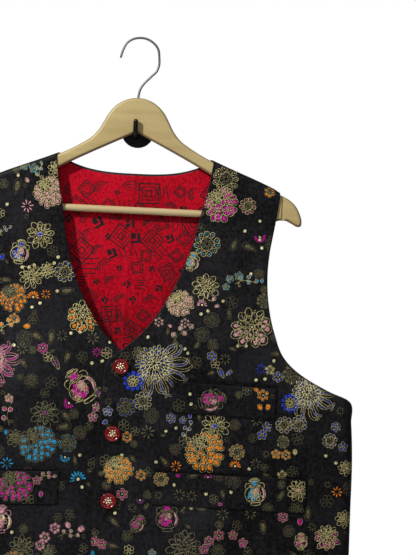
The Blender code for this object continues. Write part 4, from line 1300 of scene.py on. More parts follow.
# Where the woven flowers lie, by their place in the picture. across is in millimetres. Most rows
# leave out the last columns, which are then as usual.
LAYOUT_COLUMNS = ("kind", "picture_x", "picture_y", "across", "tint", "turn", "line")
LAYOUT_USUAL = {"turn": 0, "line": "gold"}
LAYOUT = (
    # the wearer's left front: shoulder and neck edge
    ("round", 226, 179, 30, "gold", 10), ("mum", 221, 205, 39, "magenta"),
    ("round", 248, 206, 19, "magenta", 20), ("blossom", 270, 192, 14, "orange"),
    ("fan", 260, 237, 16, "magenta", 190, None), ("daisy", 227, 231, 22, "shade", 0, None),
    ("round", 207, 244, 30, "teal"), ("vase", 192, 261, 26, "teal", -14),
    ("open", 206, 287, 33, "old gold"), ("blossom", 239, 276, 11, "teal"),
    ("blossom", 230, 279, 10, "teal", 30), ("blossom", 226, 287, 9, "teal"),
    ("sprig", 246, 284, 22, "teal", -60), ("bud", 262, 281, 6, "teal", 0, "cream"),
    ("mum", 180, 304, 31, "rose"), ("fan", 202, 305, 14, "rose", 0, None),
    ("bud", 214, 299, 6, "rose", -40, "cream"), ("bud", 217, 306, 6, "rose", -60, "cream"),
    ("blossom", 159, 322, 13, "rose", 0, "old gold"), ("blossom", 185, 323, 13, "rose", 0, "old gold"),
    ("sprig", 183, 337, 27, "rose", -24, "old gold"), ("bud", 170, 326, 6, "rose", 60, "old gold"),
    ("round", 264, 301, 17, "gold", 0, "old gold"), ("peony", 252, 327, 47, "rose", 12),
    # chest, and beside the welt there
    ("spider", 160, 373, 71, "blue"), ("bead", 133, 381, 24, "blue"),
    ("round", 126, 407, 22, "blue", 0, "old gold"), ("round", 143, 401, 21, "blue", 10),
    ("open", 139, 353, 17, None, 0, "old gold"), ("blossom", 108, 411, 12, "blue", 0, "cream"),
    ("bud", 105, 422, 7, "blue", -60, "cream"), ("daisy", 261, 369, 15, "blue", 0, None),
    ("blossom", 270, 370, 12, "gold"), ("blossom", 278, 377, 14, "blue"),
    ("round", 292, 375, 22, "gold", 0, "old gold"), ("blossom", 212, 356, 13, "blue"),
    ("open", 215, 364, 11, None), ("leaf", 221, 373, 13, "blue", 32), ("leaf", 229, 373, 9, "blue", -42),
    ("spider", 312, 400, 58, "blue"), ("bead", 290, 403, 22, "blue"),
    ("vase", 213, 400, 38, "magenta", -74, "old gold"), ("open", 247, 390, 13, None, 0, "old gold"),
    ("blossom", 263, 395, 15, "orange"), ("bud", 256, 389, 8, "orange", 40),
    ("bud", 260, 407, 8, "orange", 30), ("bud", 268, 407, 8, "orange", -30),
    # between the pockets, out to the side
    ("round", 284, 425, 20, "blue"), ("round", 299, 424, 19, "blue"), ("blossom", 267, 427, 12, "blue"),
    ("blossom", 262, 435, 12, "blue"), ("blossom", 336, 427, 13, "blue"), ("round", 330, 441, 17, "blue"),
    ("blossom", 343, 447, 12, "blue"), ("daisy", 316, 440, 24, "shade", 0, None),
    ("round", 283, 442, 15, "gold", 0, "old gold"), ("blossom", 276, 454, 12, "orange"),
    ("blossom", 286, 455, 13, "orange"), ("bud", 295, 452, 8, "gold"), ("open", 346, 468, 18, "gold"),
    ("blossom", 171, 418, 13, "blue"), ("blossom", 183, 420, 9, "blue"),
    ("bud", 190, 416, 6, "blue", 0, "cream"), ("sprig", 190, 432, 20, "blue", 10),
    ("open", 215, 426, 33, "blue"), ("open", 185, 441, 16, None, 0, "old gold"),
    ("mum", 205, 452, 46, "orange"), ("round", 237, 452, 18, "orange"),
    ("fan", 235, 466, 15, "orange", 0, None), ("open", 124, 425, 14, None, 0, "old gold"),
    ("blossom", 127, 437, 14, "orange"), ("open", 135, 431, 11, None, 0, "old gold"),
    ("daisy", 176, 466, 15, "orange", 10, None), ("mum", 118, 470, 33, "orange"),
    ("open", 106, 461, 16, None, 0, "old gold"), ("blossom", 141, 475, 14, "orange"),
    ("open", 148, 472, 11, None, 0, "old gold"),
    # the lower left welt, and below it
    ("round", 161, 479, 17, "orange"), ("dot", 178, 475, 6, "magenta", 0, "violet"),
    ("fan", 208, 477, 11, "magenta", 0, None), ("blossom", 282, 475, 12, "gold"),
    ("leaf", 267, 476, 11, "old gold", 70, "old gold"), ("vase", 255, 491, 37, "teal", 6),
    ("open", 298, 490, 27, "rose"), ("daisy", 318, 487, 13, "shade", 0, None),
    ("open", 214, 499, 12, None, 0, "old gold"), ("bud", 220, 504, 6, "magenta", 80),
    ("daisy", 337, 492, 15, "orange", 0, None), ("blossom", 122, 494, 15, "magenta"),
    ("fan", 140, 500, 11, "violet", 180, None), ("vase", 138, 523, 25, "magenta", -26, "old gold"),
    ("vase", 167, 516, 40, "magenta", 4, "old gold"), ("sprig", 189, 510, 18, "gold", -50, "old gold"),
    ("blossom", 283, 517, 14, "magenta"), ("bud", 300, 522, 9, "magenta"),
    ("daisy", 276, 532, 15, "shade", 0, None), ("open", 344, 519, 21, "gold"),
    ("vase", 301, 541, 23, "magenta"), ("peony", 327, 537, 29, "magenta"),
    ("blossom", 219, 535, 14, "magenta"), ("blossom", 209, 541, 13, "magenta"),
    ("blossom", 204, 549, 12, "magenta"), ("blossom", 233, 535, 12, "magenta"),
    ("blossom", 243, 543, 12, "magenta"), ("open", 184, 547, 41, None, 0, "old gold"),
    ("blossom", 152, 553, 10, "teal"), ("open", 129, 550, 13, None),
    # the wearer's right front: shoulder and neck edge
    ("blossom", 24, 165, 12, "teal"), ("blossom", 34, 168, 12, "teal"), ("sprig", 42, 171, 17, "teal", 20),
    ("open", 56, 168, 19, None), ("bud", 27, 180, 7, "rose", 40), ("mum", 49, 192, 36, "rose"),
    ("daisy", 27, 206, 17, "rose", 12, None), ("open", 0, 213, 12, None), ("open", 40, 234, 33, "blue"),
    ("vase", 20, 251, 33, "blue", -8), ("sprig", 5, 232, 15, "blue", -30), ("bud", 2, 257, 8, "blue"),
    ("open", 31, 276, 28, None), ("open", 47, 270, 19, None), ("round", 65, 272, 24, "blue"),
    ("mum", 13, 298, 33, "orange", 0, "old gold"), ("fan", 33, 297, 16, "orange", 0, None),
    ("daisy", 46, 294, 13, "orange", 0, None), ("blossom", 14, 318, 13, "orange"),
    ("sprig", 9, 328, 24, "orange", -34), ("bud", 27, 326, 9, "orange", -80),
    ("peony", 83, 315, 39, "orange"),
    # right chest
    ("spider", -5, 366, 56, "magenta", 0, "rose"), ("blossom", 43, 348, 14, "magenta", 0, "rose"),
    ("open", 48, 357, 11, None), ("leaf", 56, 363, 16, "violet", 32), ("leaf", 98, 392, 12, "violet", -20),
    ("vase", 80, 385, 50, "magenta", 38), ("fan", 69, 403, 15, "magenta", 140, None),
    ("daisy", 97, 352, 13, "magenta", 0, None), ("open", 107, 353, 14, "magenta"),
    ("bud", 101, 396, 8, "violet"), ("blossom", 97, 407, 12, "magenta", 0, "cream"),
    ("blossom", 93, 417, 12, "magenta", 0, "cream"), ("blossom", 9, 398, 11, "rose"),
    ("sprig", 12, 413, 26, "magenta", 20, "old gold"), ("daisy", 31, 397, 22, "shade", 0, None),
    ("open", 45, 413, 33, "violet", 0, "old gold"), ("mum", 38, 444, 43, "teal", 0, "old gold"),
    ("open", 15, 437, 20, None, 0, "old gold"), ("bud", 6, 432, 7, "teal", 0, "teal"),
    ("round", 68, 443, 21, "teal", 0, "old gold"), ("fan", 65, 457, 14, "teal", 170, None),
    ("daisy", 7, 463, 17, "teal", 0, None), ("fan", 78, 479, 21, "teal", 16, None),
    ("open", 93, 463, 13, None, 0, "old gold"), ("daisy", 60, 474, 15, "shade", 0, None),
    ("mum", 15, 486, 39, "magenta", 0, "old gold"), ("blossom", 37, 480, 11, "magenta"),
    ("bud", 41, 494, 7, "magenta", 0, "cream"), ("open", 28, 499, 16, None, 0, "old gold"),
    ("sprig", 47, 478, 17, "magenta", -60),
    # right skirt
    ("vase", 1, 518, 38, "rose", 0, "rose"), ("open", 22, 546, 29, None, 0, "old gold"),
    ("open", 49, 551, 18, None, 0, "old gold"), ("blossom", 55, 528, 14, "rose", 0, "rose"),
    ("blossom", 45, 537, 14, "rose", 20, "rose"), ("blossom", 40, 545, 13, "rose", 0, "rose"),
    ("bud", 68, 525, 9, "rose", 30, "rose"), ("sprig", 68, 537, 20, "rose", -64, "old gold"),
    ("bud", 81, 529, 10, "rose", -50, "rose"), ("open", 94, 533, 11, None, 0, "old gold"),
    ("blossom", 95, 541, 12, "magenta"), ("blossom", 102, 544, 12, "magenta"),
    ("open", 84, 548, 12, None, 0, "old gold"), ("bud", 92, 554, 10, "teal", 0, "teal"),
)
DOT_COLUMNS = ("picture_x", "picture_y")
DOTS = (
    (260, 221), (245, 231), (260, 240), (262, 248), (223, 301), (201, 314), (208, 311), (148, 337),
    (185, 349), (188, 353), (238, 346), (246, 346), (274, 361), (256, 380), (265, 379), (190, 394),
    (191, 404), (166, 431), (176, 428), (249, 469), (156, 462), (174, 485), (206, 494), (231, 492),
    (115, 513), (326, 456), (336, 463), (18, 175), (7, 204), (22, 267), (29, 267), (34, 265),
    (58, 257), (54, 263), (40, 303), (32, 307), (57, 291), (71, 333), (80, 332), (92, 363),
    (102, 361), (80, 455), (82, 487), (12, 532), (251, 274), (110, 342), (122, 455), (14, 345),
)
DOT_LOOKS = {"kind": "dot", "across": 4.6, "tint": "cream"}
PICTURE_SCALE = 1.15  # millimetres for each pixel of the picture
PICTURE_MIDDLE = (138.0, 100.0)  # where the picture is turned about, in pixels
PICTURE_ROLL = math.radians(2.9)
PICTURE_ORIGIN = (0.0, 31.0)  # the frame's origin, in turned pixels
PICTURE_EDGES = (-6.0, 562.0)  # left and lower ends of the layout; the cloth repeats beyond them
REPEAT = (240.0, 267.0)  # how far the layout is carried over to fill the cloth beyond, in pixels


def from_picture(x, y):
    """(across, height) in millimetres of a place in the picture."""
    cos, sin = math.cos(PICTURE_ROLL), math.sin(PICTURE_ROLL)
    x, y = x - PICTURE_MIDDLE[0], y - PICTURE_MIDDLE[1]
    across = x * cos + y * sin - PICTURE_ORIGIN[0]
    down = y * cos - x * sin - PICTURE_ORIGIN[1]
    return PICTURE_SCALE * across, -PICTURE_SCALE * down


def whole_layout():
    """Every flower of the layout, and those repeated over the cloth beyond the picture."""
    left, low = PICTURE_EDGES
    rows = [{**LAYOUT_USUAL, **dict(zip(LAYOUT_COLUMNS, row))} for row in LAYOUT]
    rows += [{**LAYOUT_USUAL, **DOT_LOOKS, **dict(zip(DOT_COLUMNS, place))} for place in DOTS]
    everything = list(rows)
    for across, down in ((-1, 0), (0, 1), (-1, 1)):
        for row in rows:
            x, y = row["picture_x"] + across * REPEAT[0], row["picture_y"] + down * REPEAT[1]
            if (x < left) == (across < 0) and (y > low) == (down > 0):
                everything.append({**row, "picture_x": x, "picture_y": y})
    return everything


def in_welt(welt, x, z, margin):
    """Whether places (millimetres) lie on a welt, or within a margin of it."""
    u = x - centre_line(z * MM) / MM
    low, high = sorted((welt["inner_u"], welt["outer_u"]))
    top = np.interp(u, (low, high), (welt["inner_top"], welt["outer_top"])[::1 if low > 0 else -1])
    bottom = top - welt["depth"]
    return (u > low - margin) & (u < high + margin) & (z < top + margin) & (z > bottom - margin)


def panel_at(x, z):
    for welt in WELTS:
        if in_welt(welt, x, z, 0.0):
            return welt["name"]
    over_edge = np.interp(-z, -SECTION["edge_z"], SECTION["edge_u"])
    return "front_left" if x - centre_line(z * MM) / MM > min(over_edge, 0.0) else "front_right"


FILL_CELL = 17.0  # millimetres between the places where a dim flower may fill the ground
FILL_JITTER = 5.0
FILL_ROOM = (3.0, 10.0)  # least and most room round such a flower, millimetres
FILL_KINDS = (  # kind, tint and line
    ("open", None, "moss"), ("leaf", "moss", "moss"), ("round", "dusk", "moss"), ("daisy", "moss", None),
)
FILL_THREAD = 0.72  # how fine its thread is


def fill_ground(panels, rows):
    """Dim small flowers woven into the gaps close to the bright ones."""
    chance = random.Random(31)
    spots = np.array([from_picture(row["picture_x"], row["picture_y"]) for row in rows])
    reach = np.array([row["across"] / 2 for row in rows])
    left, right, low, high = PRINT_SIZE
    for z in np.arange(low, high, FILL_CELL):
        for x in np.arange(left, right, FILL_CELL):
            place = np.array((x, z)) + [chance.uniform(-FILL_JITTER, FILL_JITTER) for _ in range(2)]
            kind, tint, line = chance.choice(FILL_KINDS)
            turn = chance.uniform(0.0, 360.0)
            room = np.min(np.linalg.norm(spots - place, axis=1) - reach)
            if FILL_ROOM[0] < room < FILL_ROOM[1]:
                weave = panels[panel_at(*place)]
                weave.at(place, turn, FILL_THREAD)
                MOTIFS[kind](weave, room, tint, line)


def weave_flowers():
    """The floats of every panel, still flat."""
    panels = {}
    rows = whole_layout()
    for row in rows:
        x, z = from_picture(row["picture_x"], row["picture_y"])
        weave = panels.setdefault(panel_at(x, z), Weave())
        weave.at((x, z), row["turn"], min(1.0, 0.62 + row["across"] / 70))
        MOTIFS[row["kind"]](weave, row["across"] / 2, row["tint"], row["line"])
    fill_ground(panels, rows)
    return panels


WELT_LAP = 2.0  # how far flowers run in under a welt, millimetres
RAY_START = 0.2  # metres in front of the wall
RAY_REACH = 0.25
LEAST_FACING = 0.25  # cloth that faces the front less than this carries no flowers


def lay(name, weave, cloth, material, hidden_by=()):
    """Lays flat floats on a piece of cloth, seen from the front. What misses the cloth, or lies
    under a welt, is left off."""
    corners = [vertex.co for vertex in cloth.data.vertices]
    tree = BVHTree.FromPolygons(corners, [polygon.vertices for polygon in cloth.data.polygons])
    flat = np.concatenate(weave.points)
    lifts = np.concatenate(weave.lifts)
    covered = np.zeros(len(flat), bool)
    for welt in hidden_by:
        covered |= in_welt(welt, flat[:, 0], flat[:, 1], -WELT_LAP)
    forward = Vector((0.0, 1.0, 0.0))
    kept, points = {}, []
    for i, (x, z) in enumerate(flat * MM):
        if covered[i]:
            continue
        hit, normal, _, _ = tree.ray_cast(Vector((x, -RAY_START, z)), forward, RAY_REACH)
        if hit is not None and normal.y < -LEAST_FACING:
            kept[i] = len(points)
            points.append(hit + normal * (lifts[i] * MM))
    faces = [[kept[c] for c in face] for face in weave.faces if all(c in kept for c in face)]
    piece = make_mesh(name, points, facing_front(points, faces), [material])
    colours = piece.data.color_attributes.new("tint", "FLOAT_COLOR", "POINT")
    colours.data.foreach_set("color", np.array([weave.tints[i] for i in kept], np.float32).ravel())
    return piece


def facing_front(points, faces):
    """The faces, each turned to face the front."""
    spots = np.array([(p.x, p.z) for p in points])
    turned_faces = []
    for face in faces:
        corners = spots[face]
        ahead = np.roll(corners, -1, axis=0)
        area = np.sum(corners[:, 0] * ahead[:, 1] - ahead[:, 0] * corners[:, 1])
        turned_faces.append(face if area > 0 else face[::-1])
    return turned_faces


# Stitches, print, and black strips of painted shadow

STITCH_SIZES = (("Spacing", 2.6 * MM), ("Stitch Length", 1.7 * MM), ("Thread Radius", 0.24 * MM))


def stitch_tree():
    """Geometry Nodes: one stitch after another along every edge of a wire mesh."""
    tree = bpy.data.node_groups.new("Stitches", "GeometryNodeTree")
    tree.interface.new_socket("Geometry", in_out="INPUT", socket_type="NodeSocketGeometry")
    for name, value in STITCH_SIZES:
        socket = tree.interface.new_socket(name, in_out="INPUT", socket_type="NodeSocketFloat")
        socket.default_value = value
    tree.interface.new_socket("Thread", in_out="INPUT", socket_type="NodeSocketMaterial")
    tree.interface.new_socket("Geometry", in_out="OUTPUT", socket_type="NodeSocketGeometry")
    given = add_node(tree, "NodeGroupInput", {}).outputs
    curve = add_node(tree, "GeometryNodeMeshToCurve", {"Mesh": given["Geometry"]})
    places = tree.nodes.new("GeometryNodeCurveToPoints")
    places.mode = "LENGTH"
    tree.links.new(curve.outputs["Curve"], places.inputs["Curve"])
    tree.links.new(given["Spacing"], places.inputs["Length"])
    ball = add_node(tree, "GeometryNodeMeshUVSphere", {"Segments": 6, "Rings": 4, "Radius": 1.0})
    align = add_node(tree, "FunctionNodeAlignRotationToVector", {"Vector": places.outputs["Tangent"]})
    align.axis = "X"
    half = combine(tree, "MULTIPLY", given["Stitch Length"], 0.5)
    sizes = {"X": half, "Y": given["Thread Radius"], "Z": given["Thread Radius"]}
    repeat = add_node(tree, "GeometryNodeInstanceOnPoints", {
        "Points": places.outputs["Points"],
        "Instance": ball.outputs["Mesh"],
        "Rotation": align.outputs["Rotation"],
        "Scale": add_node(tree, "ShaderNodeCombineXYZ", sizes).outputs["Vector"],
    })
    realize = add_node(tree, "GeometryNodeRealizeInstances", {"Geometry": repeat.outputs["Instances"]})
    inputs = {"Geometry": realize.outputs["Geometry"], "Material": given["Thread"]}
    colour = add_node(tree, "GeometryNodeSetMaterial", inputs)
    add_node(tree, "NodeGroupOutput", {"Geometry": colour.outputs["Geometry"]})
    return tree


def stitched(name, lines, material):
    """A plain mesh of stitches along lines of points."""
    points, edges = [], []
    for line in lines:
        edges.extend([(len(points) + i, len(points) + i + 1) for i in range(len(line) - 1)])
        points.extend([tuple(point) for point in line])
    mesh = bpy.data.meshes.new(name)
    mesh.from_pydata(points, edges, [])
    piece = linked(name, mesh)
    tree = stitch_tree()
    modifier = piece.modifiers.new("stitches", "NODES")
    modifier.node_group = tree
    sockets = {item.name: item.identifier for item in tree.interface.items_tree if item.in_out == "INPUT"}
    modifier[sockets["Thread"]] = material
    return settle(piece)


STITCH_INSET = 0.008  # shares of a front's width and length that its stitches lie inside its edges
STITCH_HEM = 0.994
STITCH_HOLE = 0.955  # how far out the stitches beside the armhole run


def front_stitch_lines(side):
    """Just inside a front's neck and front edge, its hem and its armhole."""
    edge = front_surface(np.full(240, STITCH_INSET), np.linspace(0.004, STITCH_HEM, 240), side)
    hem = front_surface(np.linspace(STITCH_INSET, 0.97, 150), np.full(150, STITCH_HEM), side)
    hole = front_surface(np.full(110, STITCH_HOLE), np.linspace(0.01, 0.48, 110), side)
    return [edge, hem, hole]


def welt_stitch_lines(welt):
    """Along a welt's two ends and its foot."""
    corners = [(0.012, 0.99), (0.012, 0.04), (0.988, 0.04), (0.988, 0.99)]
    lines = []
    for (s0, t0), (s1, t1) in zip(corners, corners[1:]):
        s, t = np.linspace(s0, s1, 60), np.linspace(t0, t1, 60)
        lines.append(welt_surface(welt, s, t) - (0.0, SEAM_GAP + WELT_CLOTH, 0.0))
    return lines


def edge_stitches():
    lines = front_stitch_lines(1) + front_stitch_lines(-1)
    for welt in WELTS:
        lines.extend(welt_stitch_lines(welt))
    return stitched("edge_stitches", lines, BLACK_THREAD_AND_PAINTED_SHADOW)


HOLE_TURN = -1.5  # degrees
HOLE_ENDS = (-2.0, 19.0)  # from the button's middle, millimetres
HOLE_HALF = 0.55  # half the space between its two rows of thread


def buttonholes(cloth):
    """A worked hole beside each button: two rows of close thread and a bar at the inner end."""
    weave = Weave()
    for number in BUTTONS:
        foot, _ = button_frame(f"button_{number}")
        weave.at((foot.x / MM, foot.z / MM), HOLE_TURN)
        for row in (-HOLE_HALF, HOLE_HALF):
            weave.thread([(x, row) for x in np.linspace(*HOLE_ENDS, 22)], "ink", 0.95, False, 0.34)
        bar = [(HOLE_ENDS[1] + 0.2, y) for y in np.linspace(-1.3, 1.3, 5)]
        weave.thread(bar, "ink", 0.9, False, 0.4)
    return lay("buttonholes", weave, cloth, BLACK_THREAD_AND_PAINTED_SHADOW)


# A black strip of painted shadow in the gap beside the over front's edge
GAP_SHADOW_WIDE = 2.2  # millimetres
GAP_SHADOW_SPAN = (-268.0, -560.0)  # heights of its ends
GAP_SHADOW_OUT = 0.9  # how far its middle lies beyond the over front's edge


def painted_gap_shadow(cloth):
    """A flat black strip along the over front's edge, laid on the front beneath it: painted shadow of the
    gap between the two fronts.
    """
    z = np.linspace(*GAP_SHADOW_SPAN, 160)
    x = (centre_line(z * MM) + section("edge_u", 0.8)) / MM - GAP_SHADOW_OUT
    weave = Weave(sunk=0.05)
    weave.thread(np.stack([x, z], axis=1), "shade", GAP_SHADOW_WIDE, False, 0.4)
    return lay("painted_gap_shadow", weave, cloth, BLACK_THREAD_AND_PAINTED_SHADOW)


# Black strips of painted shadow along the pocket mouths
MOUTH_WIDE = 2.0  # millimetres
MOUTH_RISE = 0.7  # how far above the welt's top its middle lies
MOUTH_END = 1.5  # how far inside the welt's ends it stops


def painted_pocket_shadows(side):
    """A black strip laid on the front along each welt's top: painted shadow in each pocket's mouth."""
    weave = Weave(sunk=0.03)
    for welt in WELTS:
        inner, outer = welt["inner_u"], welt["outer_u"]
        if side * inner < 0:
            continue
        u = np.linspace(inner + side * MOUTH_END, outer - side * MOUTH_END, 90)
        z = along_welt(welt, (u - inner) / (outer - inner), "top") / MM + MOUTH_RISE
        path = np.stack([centre_line(z * MM) / MM + u, z], axis=1)
        weave.thread(path, "shade", MOUTH_WIDE, False, 0.2)
    return weave


PRINT_CELL = 18.0  # millimetres
PRINT_SIZE = (-290.0, 290.0, -600.0, -45.0)  # left, right, low and high ends of the print
PRINT_JITTER = 0.24  # of a cell
PRINT_TURNS = (0, 45, 90, 135, 20)  # degrees
PRINT_LINE = 1.15  # how bold its lines are
PRINT_RISE = 0.05  # how far the ink stands on the cloth, millimetres


def print_square(weave, r):
    corners = np.array([(-1, -1), (1, -1), (1, 1), (-1, 1), (-1, -1)]) * r
    for share, width in ((1.0, 1.15), (0.66, 0.8), (0.3, 1.3))[:2 + (r > 8.0)]:
        for start, end in zip(corners, corners[1:]):
            weave.thread(bow(start * share, end * share, 0.0, 6), "ink", width, False, PRINT_RISE)


def print_arcs(weave, r):
    for k, share in enumerate((1.0, 0.72, 0.44)):
        t = np.linspace(0.1 * k, 2.6 + 0.2 * k, 16)
        arc = np.stack([np.cos(t), np.sin(t)], axis=1) * r * share
        weave.thread(arc, "ink", 1.1 - 0.15 * k, False, PRINT_RISE)


def print_dashes(weave, r):
    for k in range(4):
        x = (k - 1.5) * 0.5 * r
        reach = (0.9 if k % 2 else 0.55) * r
        weave.thread([(x, y) for y in np.linspace(-reach, reach, 8)], "ink", 0.95, False, PRINT_RISE)


def print_blocks(weave, r):
    round_it = ((-1, -1), (0, -1), (1, -1), (1, 0), (1, 1), (0, 1), (-1, 1), (-1, 0))
    for x, y, wide, high in ((-0.4, 0.3, 0.4, 0.5), (0.45, -0.1, 0.28, 0.8), (-0.3, -0.7, 0.6, 0.2)):
        outline = [(x + wide * a, y + high * b) for a, b in round_it]
        weave.patch(np.array(outline) * r * 0.66, "ink", PRINT_RISE)


def lining_print(cloth):
    """A scattered print of plain squares, arcs, dashes and blocks."""
    chance = random.Random(7)
    marks = (print_square, print_arcs, print_dashes, print_blocks)
    weave = Weave(sunk=0.025)
    left, right, low, high = PRINT_SIZE
    for i in range(int((right - left) / PRINT_CELL)):
        for j in range(int((high - low) / PRINT_CELL)):
            x = left + (i + 0.5 + PRINT_JITTER * (chance.random() - 0.5) + 0.5 * (j % 2)) * PRINT_CELL
            z = low + (j + 0.5 + PRINT_JITTER * (chance.random() - 0.5)) * PRINT_CELL
            weave.at((x, z), chance.choice(PRINT_TURNS) + 14 * chance.random(), PRINT_LINE)
            marks[(2 * i + 3 * j + chance.randrange(2)) % 4](weave, 5.0 + 6.5 * chance.random())
    return lay("lining_print", weave, cloth, INK)


# Hard pieces

def button_frame(node):
    """Centre of a button's foot and its axis, which points out of the cloth."""
    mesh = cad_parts[node].data
    points = np.array([vertex.co for vertex in mesh.vertices])
    centre = (points.min(axis=0) + points.max(axis=0)) / 2
    axis = np.linalg.svd(points - centre)[2][2]
    axis *= -math.copysign(1.0, axis[1])
    foot = centre + axis * np.min((points - centre) @ axis)
    return Vector(foot), Vector(axis)


def lay_ball(bm, place, turn, size):
    """Adds a squashed ball, turned about Z, to a mesh in the making. Its faces are gilt."""
    matrix = Matrix.Translation(place) @ Matrix.Rotation(turn, 4, "Z") @ Matrix.Diagonal((*size, 1.0))
    made = bmesh.ops.create_uvsphere(bm, u_segments=12, v_segments=7, radius=1.0, matrix=matrix)
    for face in {face for vertex in made["verts"] for face in vertex.link_faces}:
        face.material_index = 1


RELIEF = (  # turn in radians; out, up, long, wide and high in millimetres
    (0.3, 2.7, 0.1, 1.6, 1.1, 0.7),
    (0.3 + math.pi / 5, 4.5, -0.1, 1.2, 0.5, 0.45),
)


def button_relief(bm, height):
    """A gilt flower of five petals, with leaves between them."""
    lay_ball(bm, (0.0, 0.0, height + 0.5 * MM), 0.0, (1.1 * MM, 1.1 * MM, 0.8 * MM))
    for k in range(5):
        for turn, out, up, *size in RELIEF:
            angle = 2 * math.pi * k / 5 + turn
            place = (out * MM * math.cos(angle), out * MM * math.sin(angle), height + up * MM)
            lay_ball(bm, place, angle, [length * MM for length in size])


def button_piece(number):
    """A shank button: an enamelled dish with a rolled rim and a gilt flower in relief."""
    foot, axis = button_frame(f"button_{number}")
    r = BUTTON_RADIUS
    base = 1.0 * MM
    face = base + 1.75 * MM
    profile = [(0.0, 0.0), (2.4 * MM, 0.0), (2.4 * MM, base), (r - 1.4 * MM, base)]
    for angle in [math.radians(a) for a in range(-60, 151, 15)]:
        out, up = 1.05 * MM * (math.cos(angle) - 1), 1.3 * MM * (math.sin(angle) + 1)
        profile.append((r + out, base + up))
    profile += [(r - 2.9 * MM, face), (0.5 * r, face + 0.15 * MM), (0.2 * r, face + 0.25 * MM)]
    profile.append((0.0, face + 0.3 * MM))
    bm = turned(profile, 56)
    button_relief(bm, face + 0.15 * MM)
    piece = from_bmesh(f"button_{number}_body", bm, ENAMEL)
    piece.data.materials.append(GILT)
    turn = axis.to_track_quat("Z", "Y").to_matrix().to_4x4()
    turn.translation = foot
    piece.data.transform(turn)
    return piece


def hanger_outline(steps):
    """The whole outline, clockwise from the notch under the dome, as (x, z) points in metres."""
    lower, upper = list(HANGER_LOWER), list(HANGER_UPPER)
    left = [(-x, z) for x, z in lower[::-1]] + [(-x, z) for x, z in upper[:0:-1]]
    right = upper + lower
    x, z = smooth_path(left + right, steps)
    return np.stack([x, z], axis=1)[:-1]


def inset_outline(points, distance):
    """A closed clockwise outline moved inwards, its corners mitred."""
    ahead = np.roll(points, -1, axis=0) - points
    ahead /= np.linalg.norm(ahead, axis=1, keepdims=True)
    normal = np.stack([ahead[:, 1], -ahead[:, 0]], axis=1)
    before = np.roll(normal, 1, axis=0)
    mitre = (normal + before) / (1 + np.sum(normal * before, axis=1, keepdims=True))
    return points + mitre * distance


def block(low, high):
    bm = bmesh.new()
    bmesh.ops.create_cube(bm, size=1.0)
    low, high = Vector(low), Vector(high)
    for vertex in bm.verts:
        vertex.co = [(a + b) / 2 + c * (b - a) for a, b, c in zip(low, high, vertex.co)]
    return bm


def hanger_body():
    """The hanger before it is bored: its outline between two faces, with rounded edges."""
    outline = hanger_outline(360)
    levels = [(1 - math.sin(a), math.cos(a)) for a in np.linspace(0.0, QUARTER, 6)]
    bm = bmesh.new()
    rings = []
    for direction, order in ((-1, levels[::-1]), (1, levels)):
        for outwards, inwards in order:
            flat = HANGER_THICK / 2 - HANGER_EDGE_ROUND * outwards
            ring = inset_outline(outline, HANGER_EDGE_ROUND * (1 - inwards))
            rings.append([bm.verts.new((x, HANGER_MID + direction * flat, z)) for x, z in ring])
    skinned(bm, rings)
    bmesh.ops.triangulate(bm, faces=[face for face in bm.faces if len(face.verts) > 4])
    return from_bmesh("hanger_body", bm, HANGER_WOOD, CRISP)


def rod(ends, radius, sides):
    """A straight round rod between two places of the hanger's middle plane, given as (x, z)."""
    return tube([(x, HANGER_MID, z) for x, z in ends], [radius] * 2, sides)


def hanger_piece():
    """The hanger, bored for the wire hook and the bar, with a groove across each shoulder."""
    front = -(HANGER_BACK + HANGER_THICK)
    tools = [rod([(0.0, z * MM) for z in HOOK_BORE], WIRE_RADIUS + SEAM_GAP, 24)]
    for side in (-1, 1):
        ends = [(side * x, BAR_HEIGHT) for x in (BAR_SOCKET_INNER, BAR_HALF + SEAM_GAP)]
        tools.append(rod(ends, BAR_RADIUS + SEAM_GAP, 32))
        middle = side * GROOVE_U
        low = (middle - GROOVE_WIDE / 2, front - 0.01, GROOVE_SPAN[0])
        high = (middle + GROOVE_WIDE / 2, front + GROOVE_DEEP, GROOVE_SPAN[1])
        tools.append(block(low, high))
    tools = [from_bmesh("tool", tool, HANGER_WOOD) for tool in tools]
    return combined(hanger_body(), "DIFFERENCE", tools, CRISP)


def bar_piece():
    path = [(x, HANGER_MID, BAR_HEIGHT) for x in np.linspace(-BAR_HALF, BAR_HALF, 40)]
    return from_bmesh("bar_body", tube(path, [BAR_RADIUS] * len(path), 32), BAR_WOOD, 50.0)


def blunt(count, radius):
    """Radii of a tube whose last rings close in to a rounded tip."""
    return [radius] * (count - 3) + [radius * 0.92, radius * 0.72, radius * 0.35]


def hook_piece():
    across, height = smooth_path(HOOK_PATH, 150)
    path = [(x, HANGER_MID, z) for x, z in zip(across, height)]
    return from_bmesh("hook_body", tube(path, blunt(len(path), WIRE_RADIUS), 20), WIRE, 60.0)


def wall_hook_piece():
    """A turned plate with a bent prong. Both lie along -Y once they are turned off Z."""
    r, rounding = PLATE_RADIUS, PLATE_ROUND
    rim = []
    for a in np.linspace(0.0, QUARTER, 7):
        rim.append((r - rounding * (1 - math.cos(a)), PLATE_THICK - rounding * (1 - math.sin(a))))
    dome = [(r - 3.0 * rounding, PLATE_THICK + 0.15 * MM), (0.0, PLATE_THICK + 0.2 * MM)]
    plate = turned([(0.0, 0.0), (r, 0.0)] + rim + dome, 96)
    for vertex in plate.verts:
        x, y, z = vertex.co
        vertex.co = (x + PLATE_SHIFT, -z, y)
    out, height = smooth_path(PRONG_PATH, 60)
    path = [(-PRONG_LEAN * y / out[-1], -y, z) for y, z in zip(out, height)]
    prong = from_bmesh("prong", tube(path, blunt(len(path), PRONG_RADIUS), 28), MOULDING)
    return combined(from_bmesh("wall_hook_body", plate, MOULDING, CRISP), "UNION", [prong], CRISP)


# Camera, light and floor

